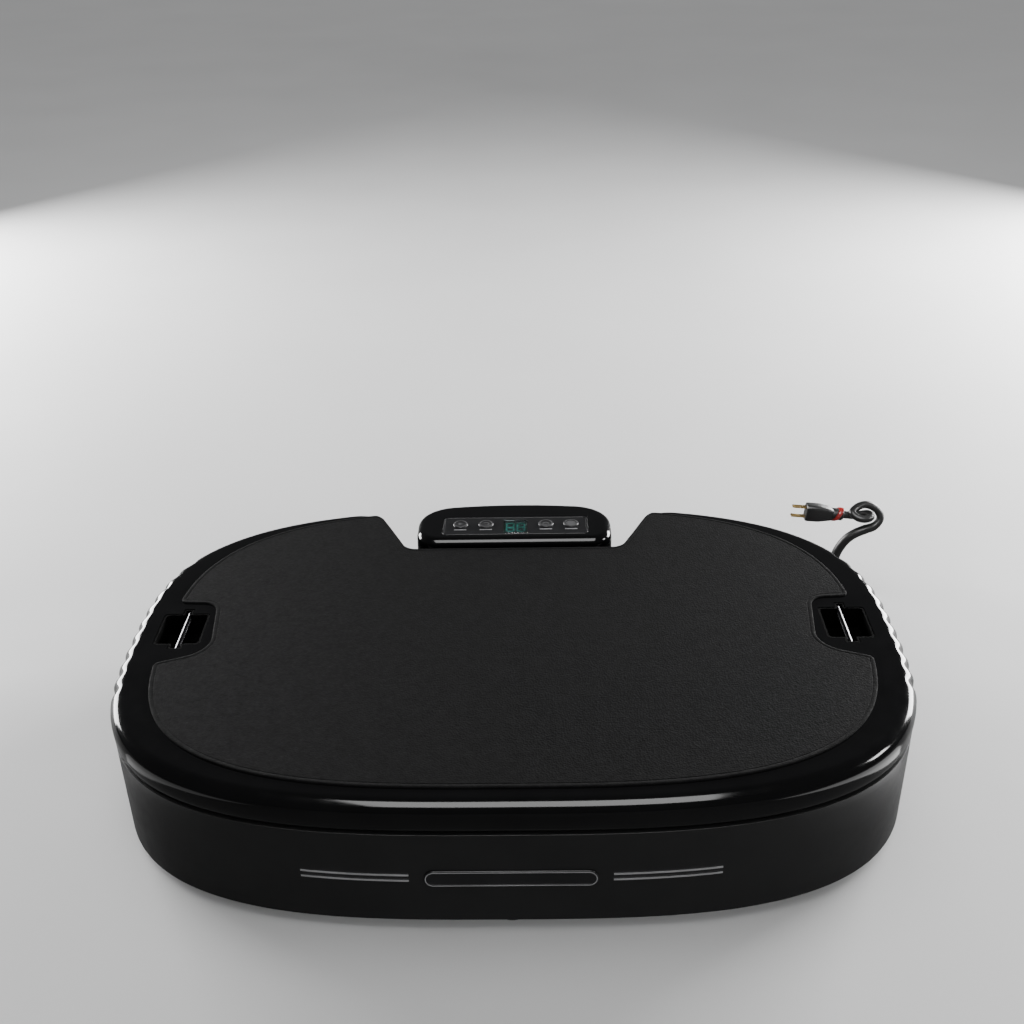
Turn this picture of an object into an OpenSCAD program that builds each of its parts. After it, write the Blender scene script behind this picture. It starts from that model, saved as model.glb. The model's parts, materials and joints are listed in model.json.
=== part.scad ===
// Vibration plate: a rounded platform that floats on four rubber isolators over a low base,
// shaken by two counter-rotating eccentric motors, with a control console in a rear notch.
// Origin on the floor under the middle of the platform, +X right, +Y to the rear, +Z up.

/* [Platform] */
// Overall width of the platform
plate_w = 770; // [740:1:800]
// Overall depth of the platform
plate_d = 540; // [520:1:560]
// Height of the platform's top face above the floor
deck_h = 140; // [138:1:142]
// Roundness of the plan outline's rear half, where 2 is an ellipse
plan_power = 2.85; // [2.7:0.05:3.1]
// Roundness of the plan outline's front half
front_power = 3.1; // [2.9:0.05:3.4]
// Horizontal reach of the rounded upper edge
rim_reach = 13; // [11:0.5:15]
// Drop from the top face to the widest line of the rim
rim_drop = 13; // [11:0.5:15]
// Height of the whole rim, down to its lower lip
rim_h = 28; // [26:1:30]
// Thickness of the platform's moulded cover
cover_t = 3.5; // [3:0.5:4]
// Thickness of the standing mat
mat_t = 1.6; // [1.2:0.1:2]

/* [Grip edge] */
// Depth of each finger scallop in the side of the rim
scallop_depth = 3.3; // [1:0.1:4]
// Distance from one scallop to the next
scallop_pitch = 26.5; // [24:0.5:29]
// Rear end of the scalloped stretch
grip_rear = 158; // [150:1:165]
// Front end of the scalloped stretch
grip_front = -105; // [-115:1:-95]

/* [Rear notch] */
// Distance from the platform's centre to the floor of the notch
notch_y = 172; // [168:1:176]
// Half width of the notch at its floor
notch_half = 115.3; // [113:0.1:118]
// Angle at which the notch's sides open to the rear
notch_splay = 24; // [20:1:28]

/* [Base] */
// Height of the skirt's lower edge above the floor
skirt_low = 10; // [8:0.5:11]
// Height of the skirt's upper edge above the floor
skirt_top = 108; // [106:0.5:109]
// Thickness of the skirt's wall
skirt_t = 3; // [2.5:0.1:3.5]
// Thickness of the steel base plate
base_t = 3; // [2.5:0.5:3.5]
// Thickness of the rubber feet, which is the base plate's height above the floor
foot_h = 12; // [11:0.5:13]

/* [Isolators] */
// Distance from the centre to an isolator, sideways
iso_x = 230; // [215:1:240]
// Distance from the centre to an isolator, front to back
iso_y = 130; // [120:1:135]
// Height of the rubber isolators
iso_h = 24.5; // [22:0.5:26]
// Radius of the rubber isolators
iso_r = 18; // [15:1:20]

/* [Console] */
// Half width of the console
pod_half = 110; // [104:1:111]
// Front edge of the console
pod_front = 177; // [176:0.5:180]
// Rear edge of the console at its middle
pod_rear = 267; // [262:1:270]
// Height of the console's top face above the floor
pod_top = 145.6; // [145:0.2:152]
// Thickness of the console's rounded head
pod_h = 36; // [32:1:40]
// Radius of the buttons
button_r = 8.5; // [7.5:0.5:10]
// Travel of the buttons
button_travel = 1.2; // [0.8:0.1:1.4]

/* [Motors] */
// Distance from the centre to a motor shaft, sideways
motor_x = 75; // [70:1:85]
// Height of the motor shafts above the floor
motor_z = 66; // [64:1:68]
// Outside radius of a motor's housing
motor_r = 40; // [38:1:41]
// Radius of a motor shaft
shaft_r = 6; // [5:0.5:7]
// Radial play between a shaft and its bearing
shaft_play = 0.05; // [0.02:0.01:0.1]
// Radius of the eccentric weights
weight_r = 34; // [30:1:36]

/* [Strap points] */
// Distance from the centre to a strap pocket
pocket_x = 334.5; // [332:0.5:337]
// Distance of the strap pockets behind the centre line
pocket_y = 8; // [0:1:16]
// Width of a strap pocket's mouth
pocket_w = 47; // [42:1:50]
// Length of a strap pocket's mouth
pocket_l = 57; // [50:1:60]
// Width and length of the seat for a strap bar's rear end
rear_seat = [10, 9]; // [8:0.5:12]
// Width and length of the seat for a strap bar's front end
front_seat = [14, 8]; // [8:0.5:16]
// Radius of the metal strap bars
bar_r = 3; // [2.5:0.5:3.5]

/* [Power lead] */
// Radius of the mains lead
cord_r = 4.7; // [4:0.1:5.2]
// Radius of the sleeve moulded over the first stretch of the lead
sleeve_r = 5.8; // [5.3:0.1:6.2]
// Sideways place of the power inlet on the rear of the skirt
inlet_x = 300; // [290:1:305]
// Height of the power inlet above the floor
inlet_z = 46; // [44:1:50]

/* [Hidden] */

$fn = 48;
half_w = plate_w / 2;
half_d = plate_d / 2;
seam_z = deck_h - rim_h;
cover_under = deck_h - cover_t;
plate_low = cover_under - 4;
frame_t = 20;
frame_low = plate_low - frame_t;
base_top = foot_h + base_t;
post_top = frame_low - iso_h;
skirt_in = 1;
skirt_foot_in = 3.6;
wall_in = skirt_foot_in + skirt_t;

// ---- plan outline --------------------------------------------------------------------

function rim_y(x, power = plan_power) = half_d * pow(1 - pow(abs(x) / half_w, power), 1 / power);
function rim_x(y) = let (power = y < 0 ? front_power : plan_power)
    half_w * pow(1 - pow(abs(y) / half_d, power), 1 / power);
function corner_frac(power = plan_power) = pow(0.5, 1 / power);

// Points of a smooth corner from a to b that heads for s
function bend(a, s, b, m) = let (k = 0.58)
    [for (i = [0 : m]) let (t = i / m, u = 1 - t)
        a * (u * u * u) + (a + (s - a) * k) * (3 * u * u * t)
        + (b + (s - b) * k) * (3 * u * t * t) + b * (t * t * t)];

mouth_x = 188;
mouth_y = 238;
splay = tan(notch_splay);
notch_side_x = notch_half + (mouth_y - notch_y) * splay;
mouth_slope = -pow(mouth_x / half_w, plan_power - 1) / half_w
    / (pow(rim_y(mouth_x) / half_d, plan_power - 1) / half_d);
mouth_s_y = (rim_y(mouth_x) + mouth_slope * (notch_half - notch_y * splay - mouth_x))
    / (1 - mouth_slope * splay);
mouth_s = [notch_half + (mouth_s_y - notch_y) * splay, mouth_s_y];
notch_low = 6.5;

function flipped(p) = [for (i = [len(p) - 1 : -1 : 0]) [-p[i][0], p[i][1]]];

// Right side of the notch, from the outline to its floor
function notch_side() = concat(
    bend([mouth_x, rim_y(mouth_x)], mouth_s, [notch_side_x, mouth_y], 8),
    bend([notch_half + notch_low * splay, notch_y + notch_low], [notch_half, notch_y],
        [notch_half - notch_low, notch_y], 4));

// The whole outline, anticlockwise from above, with side_n steps along each side
function outline(side_n) = let (
    cx = half_w * corner_frac(),
    cy = half_d * corner_frac(),
    fx = half_w * corner_frac(front_power),
    fy = half_d * corner_frac(front_power),
    rear_n = 8,
    front_n = 32,
    rear = [for (i = [0 : rear_n - 1]) let (x = cx + (mouth_x - cx) * i / rear_n) [x, rim_y(x)]],
    side = [for (i = [0 : side_n - 1]) let (y = -fy + (cy + fy) * i / side_n) [rim_x(y), y]],
    front = [for (i = [1 : front_n - 1]) let (x = -fx + 2 * fx * i / front_n)
        [x, -rim_y(x, front_power)]],
    right = concat(side, rear, notch_side()),
    turned = flipped(right))
    concat(turned, front, right);

function unit(v) = v / norm(v);

// Points moved inward by d, each along the outline's own normal
function inset(p, d) = let (n = len(p)) [for (i = [0 : n - 1])
    let (v = unit(p[(i + 1) % n] - p[(i + n - 1) % n])) [p[i][0] - v[1] * d, p[i][1] + v[0] * d]];

function at_z(p, z) = [for (q = p) [q[0], q[1], z]];

// Skin over a stack of rings with equal counts, capped at both ends or closed on itself
module skin(rings, closed = false) {
    n = len(rings[0]);
    m = len(rings);
    sides = [for (k = [0 : m - (closed ? 1 : 2)], i = [0 : n - 1])
        let (k2 = (k + 1) % m, j = (i + 1) % n) [k * n + i, k2 * n + i, k2 * n + j, k * n + j]];
    caps = closed ? [] : [[for (i = [0 : n - 1]) i], [for (i = [n - 1 : -1 : 0]) (m - 1) * n + i]];
    polyhedron([for (r = rings) each r], concat(sides, caps), convexity = 12);
}

coarse = outline(24);
fine = outline(78);

module plan_slab(d, z0, z1) {
    translate([0, 0, z0]) linear_extrude(z1 - z0) polygon(inset(coarse, d));
}

module both_sides() {
    children();
    mirror([1, 0, 0]) children();
}

module four_corners(x, y) {
    for (sx = [-1, 1], sy = [-1, 1]) translate([sx * x, sy * y, 0]) children();
}

// ---- platform ------------------------------------------------------------------------

function in_grip(y) = y > grip_front && y < grip_rear;
function scallop(p) = abs(p[0]) > half_w * corner_frac() && in_grip(p[1])
    ? scallop_depth * (0.5 - 0.5 * cos(360 * (p[1] - grip_front) / scallop_pitch)) : 0;

// Outline moved inward by d, with the scallops cut w times their full depth
function rim_ring(d, z, w) = let (p = inset(fine, d), n = len(p)) [for (i = [0 : n - 1])
    let (s = fine[i][0] < 0 ? 1 : -1) [p[i][0] + s * w * scallop(fine[i]), p[i][1], z]];

rim_steps = 5;
lip_steps = 3;
lip_in = 2;
widest_z = deck_h - rim_drop;

pocket_corner = 4;

// A strap pocket's mouth with a seat for the bar at each end, grown all round
module pocket_shape(grow, z0, z1) {
    w = pocket_w + 2 * grow - 2 * pocket_corner;
    l = pocket_l + 2 * grow - 2 * pocket_corner;
    translate([pocket_x, pocket_y, z0]) linear_extrude(z1 - z0) {
        offset(pocket_corner) square([w, l], center = true);
        translate([-rear_seat[0] / 2 - grow, 0])
            square([rear_seat[0] + 2 * grow, pocket_l / 2 + rear_seat[1] + grow]);
        translate([-front_seat[0] / 2 - grow, -pocket_l / 2 - front_seat[1] - grow])
            square([front_seat[0] + 2 * grow, pocket_l / 2 + front_seat[1] + grow]);
    }
}

module deck_cover() {
    lip = [for (i = [lip_steps : -1 : 1]) let (a = 78 * i / lip_steps)
        rim_ring(lip_in * (1 - cos(a)) / (1 - cos(78)), widest_z - (rim_h - rim_drop) * sin(a) / sin(78),
            cos(a))];
    crown = [for (i = [0 : rim_steps]) let (a = 90 * i / rim_steps)
        rim_ring(rim_reach * (1 - cos(a)), widest_z + rim_drop * sin(a), cos(a))];
    color([0.03, 0.03, 0.035]) difference() {
        skin(concat([rim_ring(9, cover_under, 0), rim_ring(9, seam_z, 0)], lip, crown));
        both_sides() pocket_shape(0.2, deck_h - 10, deck_h + 5);
    }
}

deck_screw_r = 4;
deck_screw_head = 6;
deck_screw_seat = plate_low + 1.5;
deck_screw_low = frame_low + 8;

module deck_plate() {
    color([0.2, 0.2, 0.21]) difference() {
        plan_slab(24, plate_low, cover_under);
        both_sides() pocket_shape(4, plate_low - 5, deck_h);
        four_corners(iso_x, iso_y) {
            translate([0, 0, plate_low - 1]) cylinder(r = deck_screw_r + 0.2, h = 10);
            translate([0, 0, deck_screw_seat]) cylinder(r = deck_screw_head + 1, h = 10);
        }
    }
}

module tube_bar(size, wall) {
    difference() {
        cube(size, center = true);
        cube(size[0] > size[1] ? [size[0] + 2, size[1] - 2 * wall, size[2] - 2 * wall]
            : [size[0] - 2 * wall, size[1] + 2, size[2] - 2 * wall], center = true);
    }
}

frame_w = 540;
frame_wall = 2;

module deck_frame() {
    z = frame_low + frame_t / 2;
    color([0.25, 0.25, 0.26]) difference() {
        union() for (s = [-1, 1]) {
            translate([0, s * iso_y, z]) tube_bar([frame_w, frame_t, frame_t], frame_wall);
            translate([s * iso_x, 0, z])
                tube_bar([frame_t, 2 * iso_y - frame_t, frame_t], frame_wall);
        }
        four_corners(iso_x, iso_y) translate([0, 0, z]) cylinder(r = deck_screw_r, h = frame_t);
    }
}

mat_side_in = 36;
mat_front_in = 23;
mat_rear_in = 13;
notch_border = 6;

module mat_outline() {
    offset(7) offset(-7) difference() {
        polygon([for (i = [0 : 119]) let (a = 3 * i, c = cos(a), s = sin(a),
            e = 2 / (s < 0 ? front_power : plan_power),
            hy = half_d - (s < 0 ? mat_front_in : mat_rear_in))
            [(half_w - mat_side_in) * sign(c) * pow(abs(c), e), hy * sign(s) * pow(abs(s), e)]]);
        offset(notch_border) polygon(concat([[0, half_d + 30]], [[-mouth_x, half_d + 30]],
            flipped(notch_side_back()), notch_side_back(), [[mouth_x, half_d + 30]]));
        both_sides() strap_scoop();
    }
}

function notch_side_back() = let (p = notch_side()) [for (i = [len(p) - 1 : -1 : 0]) p[i]];

// Bay in the mat's edge that leaves the strap pocket on the gloss border
scoop_rear_r = 17;
scoop_front_r = 32;
scoop_rear = [323, 39];
scoop_front = [332, -14];
scoop_out = half_w + 35;

module strap_scoop() {
    hull() {
        translate(scoop_rear) circle(scoop_rear_r, $fn = 32);
        translate(scoop_front) circle(scoop_front_r, $fn = 32);
        translate([scoop_out, scoop_rear[1] + 5]) circle(scoop_rear_r, $fn = 32);
        translate([scoop_out, scoop_front[1] - 36]) circle(scoop_front_r, $fn = 32);
    }
}

module deck_mat() {
    color([0.1, 0.1, 0.11]) translate([0, 0, deck_h]) linear_extrude(mat_t) mat_outline();
}

pocket_floor = 114;
pocket_wall = 2;
bar_z = deck_h - bar_r - 1.2;
bar_in = 1.7;
bar_front = pocket_y - pocket_l / 2 - front_seat[1] + pocket_wall / 2;
bar_rear = pocket_y + pocket_l / 2 + rear_seat[1] - pocket_wall / 2;

module strap_rod() {
    translate([pocket_x - bar_in, bar_front, bar_z]) rotate([-90, 0, 0])
        cylinder(r = bar_r, h = bar_rear - bar_front);
}

module strap_pocket() {
    color([0.06, 0.06, 0.065]) difference() {
        union() {
            pocket_shape(0, pocket_floor, deck_h - 0.4);
            pocket_shape(pocket_wall - 0.2, pocket_floor, cover_under - 0.1);
        }
        pocket_shape(-pocket_wall, pocket_floor + pocket_wall, deck_h + 5);
        strap_rod();
    }
}

module strap_bar() {
    color([0.75, 0.75, 0.77]) strap_rod();
}

module strap_pocket_left() {
    mirror([1, 0, 0]) strap_pocket();
}

module strap_pocket_right() {
    strap_pocket();
}

module strap_bar_left() {
    mirror([1, 0, 0]) strap_bar();
}

module strap_bar_right() {
    strap_bar();
}

// Cap screw standing on its thread's end, head on top
module cap_screw(r, len, head_r, head_h) {
    cylinder(r = r, h = len);
    translate([0, 0, len]) difference() {
        cylinder(r = head_r, h = head_h);
        translate([0, 0, head_h * 0.4]) cylinder(r = head_r * 0.55, h = head_h, $fn = 6);
    }
}

module deck_screws() {
    color([0.7, 0.7, 0.72]) four_corners(iso_x, iso_y) translate([0, 0, deck_screw_low])
        cap_screw(deck_screw_r, deck_screw_seat - deck_screw_low, deck_screw_head,
            cover_under - deck_screw_seat - 0.1);
}

// ---- motors --------------------------------------------------------------------------

housing_half = 48;
cap_t = 12;
bearing_r = 14;
bearing_w = 8;
bracket_y = 34;
bracket_t = 8;
cradle_top = frame_low;
cradle_t = 3;

module along_y(y0, y1, r) {
    translate([0, y0, 0]) rotate([-90, 0, 0]) cylinder(r = r, h = y1 - y0);
}

module at_motor(side) {
    translate([side * motor_x, 0, motor_z]) children();
}

module each_motor() {
    for (side = [-1, 1]) at_motor(side) children();
}

module motor_housings() {
    color([0.3, 0.32, 0.34]) each_motor() difference() {
        along_y(-housing_half, housing_half, motor_r);
        along_y(-housing_half - 1, housing_half + 1, motor_r - 3);
    }
}

module stator_magnets() {
    color([0.2, 0.2, 0.22]) each_motor() difference() {
        along_y(-32, 32, motor_r - 3);
        along_y(-33, 33, motor_r - 12);
    }
}

module motor_end_caps() {
    color([0.6, 0.6, 0.62]) each_motor() for (end = [0, 1]) rotate([0, 0, 180 * end]) difference() {
        along_y(housing_half, housing_half + cap_t, motor_r);
        along_y(housing_half + cap_t - bearing_w, housing_half + cap_t + 1, bearing_r);
        along_y(housing_half - 1, housing_half + cap_t, shaft_r + 3);
    }
}

module motor_bearings() {
    color([0.8, 0.8, 0.82]) each_motor() for (end = [0, 1]) rotate([0, 0, 180 * end]) difference() {
        along_y(housing_half + cap_t - bearing_w, housing_half + cap_t, bearing_r);
        along_y(housing_half, housing_half + cap_t + 1, shaft_r + shaft_play);
    }
}

module rotor_shaft(side) {
    color([0.8, 0.8, 0.82]) at_motor(side) along_y(-88, 88, shaft_r);
}

module rotor_core(side) {
    slots = 12;
    color([0.55, 0.35, 0.2]) at_motor(side) difference() {
        along_y(-30, 30, motor_r - 13);
        along_y(-31, 31, shaft_r);
        for (i = [0 : slots - 1]) rotate([0, 360 / slots * i, 0])
            translate([motor_r - 13, 0, 0]) cube([8, 64, 3], center = true);
    }
}

module weight_pair(side) {
    color([0.45, 0.45, 0.47]) at_motor(side) for (end = [-1, 1]) translate([0, end * 74, 0])
        difference() {
            union() {
                along_y(-9, 9, 12);
                intersection() {
                    along_y(-9, 9, weight_r);
                    translate([-50, -10, -60]) cube([100, 20, 60]);
                }
            }
            along_y(-10, 10, shaft_r);
        }
}

module motor_brackets() {
    color([0.28, 0.29, 0.3]) each_motor() difference() {
        union() {
            translate([-46, -iso_y - 10, cradle_top - cradle_t - motor_z])
                cube([92, 2 * iso_y + 20, cradle_t]);
            for (s = [-1, 1]) translate([-46, s * bracket_y - bracket_t / 2, -motor_r - 4])
                cube([92, bracket_t, cradle_top - cradle_t - motor_z + motor_r + 4]);
        }
        along_y(-bracket_y - 10, bracket_y + 10, motor_r);
        four_corners(36, iso_y) translate([0, 0, cradle_top - motor_z - 10]) cylinder(r = 3, h = 12);
    }
}

module bracket_bolts() {
    color([0.75, 0.75, 0.77]) each_motor() four_corners(36, iso_y)
        translate([0, 0, cradle_top - motor_z]) mirror([0, 0, 1]) cap_screw(3, cradle_t, 5, 5);
}

module rotor_shaft_left() {
    rotor_shaft(-1);
}

module rotor_shaft_right() {
    rotor_shaft(1);
}

module rotor_core_left() {
    rotor_core(-1);
}

module rotor_core_right() {
    rotor_core(1);
}

module eccentric_weights_left() {
    weight_pair(-1);
}

module eccentric_weights_right() {
    weight_pair(1);
}

// ---- base ----------------------------------------------------------------------------

tongue_half = 80;

module at_inlet() {
    rise = rim_y(inlet_x);
    turn = atan2(pow(inlet_x / half_w, plan_power - 1) / half_w,
        pow(rise / half_d, plan_power - 1) / half_d);
    translate([inlet_x, rise, inlet_z]) rotate([0, 0, -turn]) children();
}

inlet_w = 63;
inlet_h = 32;
cable_x = 28;
cable_z = base_top + 7;
cable_hole_r = 4;
boss_r = 6.5;
boss_h = 16;
boss_in = wall_in + 4;
boss_x = 200;
skirt_screw_r = 2;

// Where the skirt is screwed to the base plate
module skirt_bosses() {
    both_sides() translate([half_w - boss_in, 0, 0]) children();
    both_sides() translate([boss_x, rim_y(boss_x) - boss_in, 0]) children();
    both_sides() translate([boss_x, boss_in - rim_y(boss_x, front_power), 0]) children();
}

module cable_hole(y0, y1) {
    translate([cable_x, 0, cable_z]) along_y(y0, y1, cable_hole_r);
}

module base_skirt() {
    mid_in = (skirt_foot_in + skirt_in) / 2;
    color([0.05, 0.05, 0.055]) difference() {
        union() {
            skin([at_z(inset(coarse, skirt_foot_in + 1), skirt_low),
                at_z(inset(coarse, skirt_foot_in), skirt_low + 2),
                at_z(inset(coarse, mid_in), (skirt_low + skirt_top) / 2),
                at_z(inset(coarse, skirt_in), skirt_top - 2.5),
                at_z(inset(coarse, skirt_in + 2), skirt_top),
                at_z(inset(coarse, wall_in), skirt_top),
                at_z(inset(coarse, wall_in), skirt_low)], closed = true);
            skirt_bosses() translate([0, 0, base_top + 0.1]) cylinder(r = boss_r, h = boss_h);
        }
        skirt_bosses() cylinder(r = skirt_screw_r, h = base_top + boss_h - 4);
        cable_hole(notch_y - 30, notch_y + 10);
        translate([-tongue_half - 4, notch_y - 20, skirt_low - 1]) cube([2 * tongue_half + 8, 40, 7]);
        at_inlet() translate([-inlet_w / 2, -20, -inlet_h / 2]) cube([inlet_w, 30, inlet_h]);
    }
}

module base_plate() {
    color([0.3, 0.3, 0.31]) difference() {
        union() {
            plan_slab(wall_in + 0.4, foot_h, base_top);
            translate([0, 0, foot_h]) linear_extrude(base_t) polygon(shrink(0.9));
            translate([-tongue_half, notch_y - 30, foot_h]) cube([2 * tongue_half, 60, base_t]);
        }
        foot_places() translate([0, 0, foot_h - 1]) cylinder(r = stud_r, h = base_t + 2);
        skirt_bosses() cylinder(r = skirt_screw_r, h = base_top + 1);
    }
}

module foot_places() {
    four_corners(300, 160) children();
    children();
    translate([0, -238, 0]) children();
    translate([0, 222, 0]) children();
}

stud_r = 2.45;
stud_low = 5;

module rubber_feet() {
    color([0.04, 0.04, 0.04]) foot_places() difference() {
        rotate_extrude() polygon([[0, 0], [18, 0], [19.5, 2], [18, foot_h], [0, foot_h]]);
        translate([0, 0, stud_low]) cylinder(r = stud_r, h = foot_h);
    }
}

module foot_studs() {
    color([0.7, 0.7, 0.72]) foot_places() {
        translate([0, 0, stud_low]) cylinder(r = stud_r, h = base_top - stud_low + 5);
        translate([0, 0, base_top]) cylinder(r = 4.6, h = 4, $fn = 6);
    }
}

module isolator_posts() {
    color([0.3, 0.3, 0.31]) four_corners(iso_x, iso_y) difference() {
        union() {
            translate([0, 0, base_top]) cylinder(r = 32, h = 4);
            translate([0, 0, base_top]) cylinder(r = 22, h = post_top - base_top);
        }
        translate([0, 0, base_top - 1]) cylinder(r = 18, h = post_top - base_top - 3);
    }
}

module rubber_isolators() {
    color([0.06, 0.06, 0.06]) four_corners(iso_x, iso_y) translate([0, 0, post_top]) difference() {
        cylinder(r = iso_r, h = iso_h);
        rotate_extrude() translate([iso_r + 5, iso_h / 2]) circle(8);
    }
}

module drive_board() {
    color([0.1, 0.35, 0.2]) translate([130, -70, base_top]) {
        for (x = [6, 84], y = [6, 134]) translate([x - 4, y - 4, 0]) cube([8, 8, 8]);
        translate([0, 0, 8]) cube([90, 140, 1.6]);
    }
}

module drive_components() {
    color([0.15, 0.15, 0.3]) translate([130, -70, base_top + 9.6]) {
        for (y = [30, 60]) translate([22, y, 0]) cylinder(r = 12, h = 30);
        translate([10, 90, 0]) cube([28, 20, 16]);
        translate([50, 112, 0]) cube([30, 14, 10]);
        translate([10, 120, 0]) cube([24, 10, 9]);
    }
}

module drive_heatsink() {
    color([0.7, 0.7, 0.72]) translate([180, -55, base_top + 9.6]) {
        cube([4, 80, 34]);
        for (i = [0 : 7]) translate([4, i * 11, 0]) cube([20, 3, 34]);
    }
}

module motor_leads() {
    z = base_top + 21;
    right_x = motor_x + motor_r;
    left_x = motor_r - motor_x;
    color([0.5, 0.1, 0.1]) for (y = [54, 61]) {
        tube_along(spline([[152, y, z], [152, y, z + 10], [142, y, z + 22],
            [right_x + 12, y - 1, z + 30], [right_x + 4, y - 2, motor_z + 8],
            [right_x + 0.5, y - 8, motor_z + 12]], 4), 1.5, 8);
        tube_along(spline([[160, y, z], [160, y, z + 12], [148, y + 36, 58], [75, y + 40, 56],
            [0, y + 40, 56], [left_x + 22, y + 20, 62], [left_x + 5, y - 4, motor_z + 8],
            [left_x + 0.5, y - 9, motor_z + 12]], 4), 1.5, 8);
    }
}

module skirt_screws() {
    len = base_t + boss_h - 6;
    color([0.7, 0.7, 0.72]) skirt_bosses() translate([0, 0, foot_h + len]) mirror([0, 0, 1])
        cap_screw(skirt_screw_r, len, 1.6 * skirt_screw_r, 2.5);
}

// Two leads from the mains inlet to the drive board
module mains_leads() {
    z = base_top + 10;
    color([0.5, 0.1, 0.1]) for (o = [0, 5])
        tube_along(spline([from_inlet(socket_u - 3 + o, -42), from_inlet(socket_u - 3 + o, -48),
            [266 + o, 168, inlet_z - 12], [272 + o, 150, z], [274 + o, 110, z],
            [250 + o / 2, 68 - o, z], [224, 50 - o, z]], 4), 1.6, 8, [0, 0, 1]);
}

// ---- console -------------------------------------------------------------------------

pod_corner = 24;
pod_side_rear = 222;
pod_shoulder = pod_rear - 4;
function pod_right() = concat(
    bend([pod_half - pod_corner, pod_front], [pod_half, pod_front],
        [pod_half, pod_front + pod_corner], 6),
    bend([pod_half, pod_side_rear], [pod_half, pod_shoulder - 4],
        [pod_half - 42, pod_shoulder], 7),
    [[pod_half - 70, pod_rear - 1]]);
pod = concat(pod_right(), [[0, pod_rear]], flipped(pod_right()));
pod_mid = (pod_front + pod_rear) / 2;

// Console outline scaled by f about its middle
function shrink(f) = [for (q = pod) [q[0] * f, pod_mid + (q[1] - pod_mid) * f]];

module pod_slab(d, z0, z1) {
    translate([0, 0, z0]) linear_extrude(z1 - z0) polygon(inset(pod, d));
}

pod_edge = 9;
pod_low = pod_top - pod_h;
split_z = pod_low + 14;
panel_z = pod_top - 1.2;
panel_cx = 1.5;
panel_cy = 210.5;
panel_w = 164;
panel_d = 41;
window_w = 26;
window_d = 31;
window_y = 207.5;
buttons_x = [-61, -32, 36, 64.5];
button_y = 213.5;

module panel_outline(grow) {
    translate([panel_cx, panel_cy]) offset(5 + grow)
        square([panel_w - 10, panel_d - 10], center = true);
}

module panel_openings(play) {
    for (x = buttons_x) translate([x, button_y]) circle(button_r + play);
    translate([panel_cx, window_y]) square([window_w + 2 * play, window_d + 2 * play], center = true);
}

module console_housing() {
    steps = 5;
    crown = [for (i = [0 : steps]) let (a = 90 * i / steps)
        at_z(inset(pod, pod_edge * (1 - cos(a))), pod_top - pod_edge + pod_edge * sin(a))];
    color([0.04, 0.04, 0.045]) difference() {
        skin(concat([at_z(inset(pod, 4), pod_top - 4), at_z(inset(pod, 4), split_z),
            at_z(pod, split_z)], crown));
        translate([0, 0, panel_z]) linear_extrude(5) panel_outline(0.15);
        translate([0, 0, pod_top - 8]) linear_extrude(10) panel_openings(0.6);
    }
}

module console_faceplate() {
    color([0.12, 0.12, 0.13]) translate([0, 0, panel_z]) linear_extrude(1.2) difference() {
        panel_outline(0);
        panel_openings(0.3);
    }
}

board_z = pod_top - 9.6;
board_t = 1.6;
board_holes = [[-83, 189], [85, 189], [-83, 236], [85, 236]];
board_screw_r = 1.5;
board_screw_low = board_z - board_t - 6;
ledge_z = pod_low + 12;

module at_places(places) {
    for (p = places) translate([p[0], p[1], 0]) children();
}

module console_column() {
    steps = 5;
    edge = 10;
    belly = [for (i = [0 : steps]) let (a = 90 - 90 * i / steps)
        at_z(inset(pod, edge * (1 - cos(a))), pod_low + edge * (1 - sin(a)))];
    color([0.05, 0.05, 0.055]) difference() {
        skin(concat([at_z(shrink(0.86), base_top), at_z(shrink(0.86), base_top + 4),
            at_z(shrink(0.8), base_top + 7), at_z(shrink(0.83), pod_low - 1)], belly,
            [at_z(pod, split_z - 0.1)]));
        translate([0, 0, base_top - 1]) linear_extrude(pod_top) polygon(shrink(0.76));
        pod_slab(6, ledge_z, pod_top);
        cable_hole(pod_front, pod_mid);
    }
    color([0.05, 0.05, 0.055]) at_places(board_holes) difference() {
        translate([0, 0, ledge_z - 4]) cylinder(r = 4, h = board_z - board_t - ledge_z + 4);
        translate([0, 0, board_screw_low]) cylinder(r = board_screw_r, h = pod_h);
    }
}

module display_window() {
    color([0.05, 0.15, 0.16]) translate([panel_cx - window_w / 2, window_y - window_d / 2, panel_z])
        cube([window_w, window_d, 1.2]);
}

module console_board() {
    color([0.1, 0.35, 0.2]) difference() {
        translate([panel_cx - 89, 184.5, board_z - board_t]) cube([178, 56, board_t]);
        at_places(board_holes) translate([0, 0, board_z - 5]) cylinder(r = board_screw_r, h = 10);
    }
}

module display_module() {
    color([0.1, 0.1, 0.1]) translate([panel_cx - window_w / 2 + 1, window_y - window_d / 2 + 1, board_z])
        cube([window_w - 2, window_d - 2, panel_z - board_z - 1]);
}

// One seven-stroke figure with every stroke shown
module figure_eight(w, h, t) {
    for (y = [0, h / 2, h]) translate([0, y]) square([w - t, t], center = true);
    for (x = [-w / 2, w / 2], y = [h / 4, 3 * h / 4]) translate([x, y])
        square([t, h / 2 - t], center = true);
}

digit_h = 19;

module display_digits() {
    color([0.2, 0.75, 0.7]) for (s = [-1, 1])
        translate([panel_cx + s * 6, window_y - digit_h / 2, panel_z - 1])
            linear_extrude(0.6) figure_eight(8, digit_h, 1.8);
}

module tact_switches() {
    color([0.5, 0.5, 0.52]) for (x = buttons_x) translate([x, button_y, board_z]) {
        translate([-3, -3, 0]) cube([6, 6, 3.5]);
        translate([0, 0, 3.5]) cylinder(r = 1.7, h = 1.2);
    }
}

mark_w = 14;

module panel_marks() {
    color([0.7, 0.7, 0.72]) for (x = buttons_x)
        translate([x - mark_w / 2, button_y - button_r - 5, pod_top]) cube([mark_w, 1.8, 0.15]);
}

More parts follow.
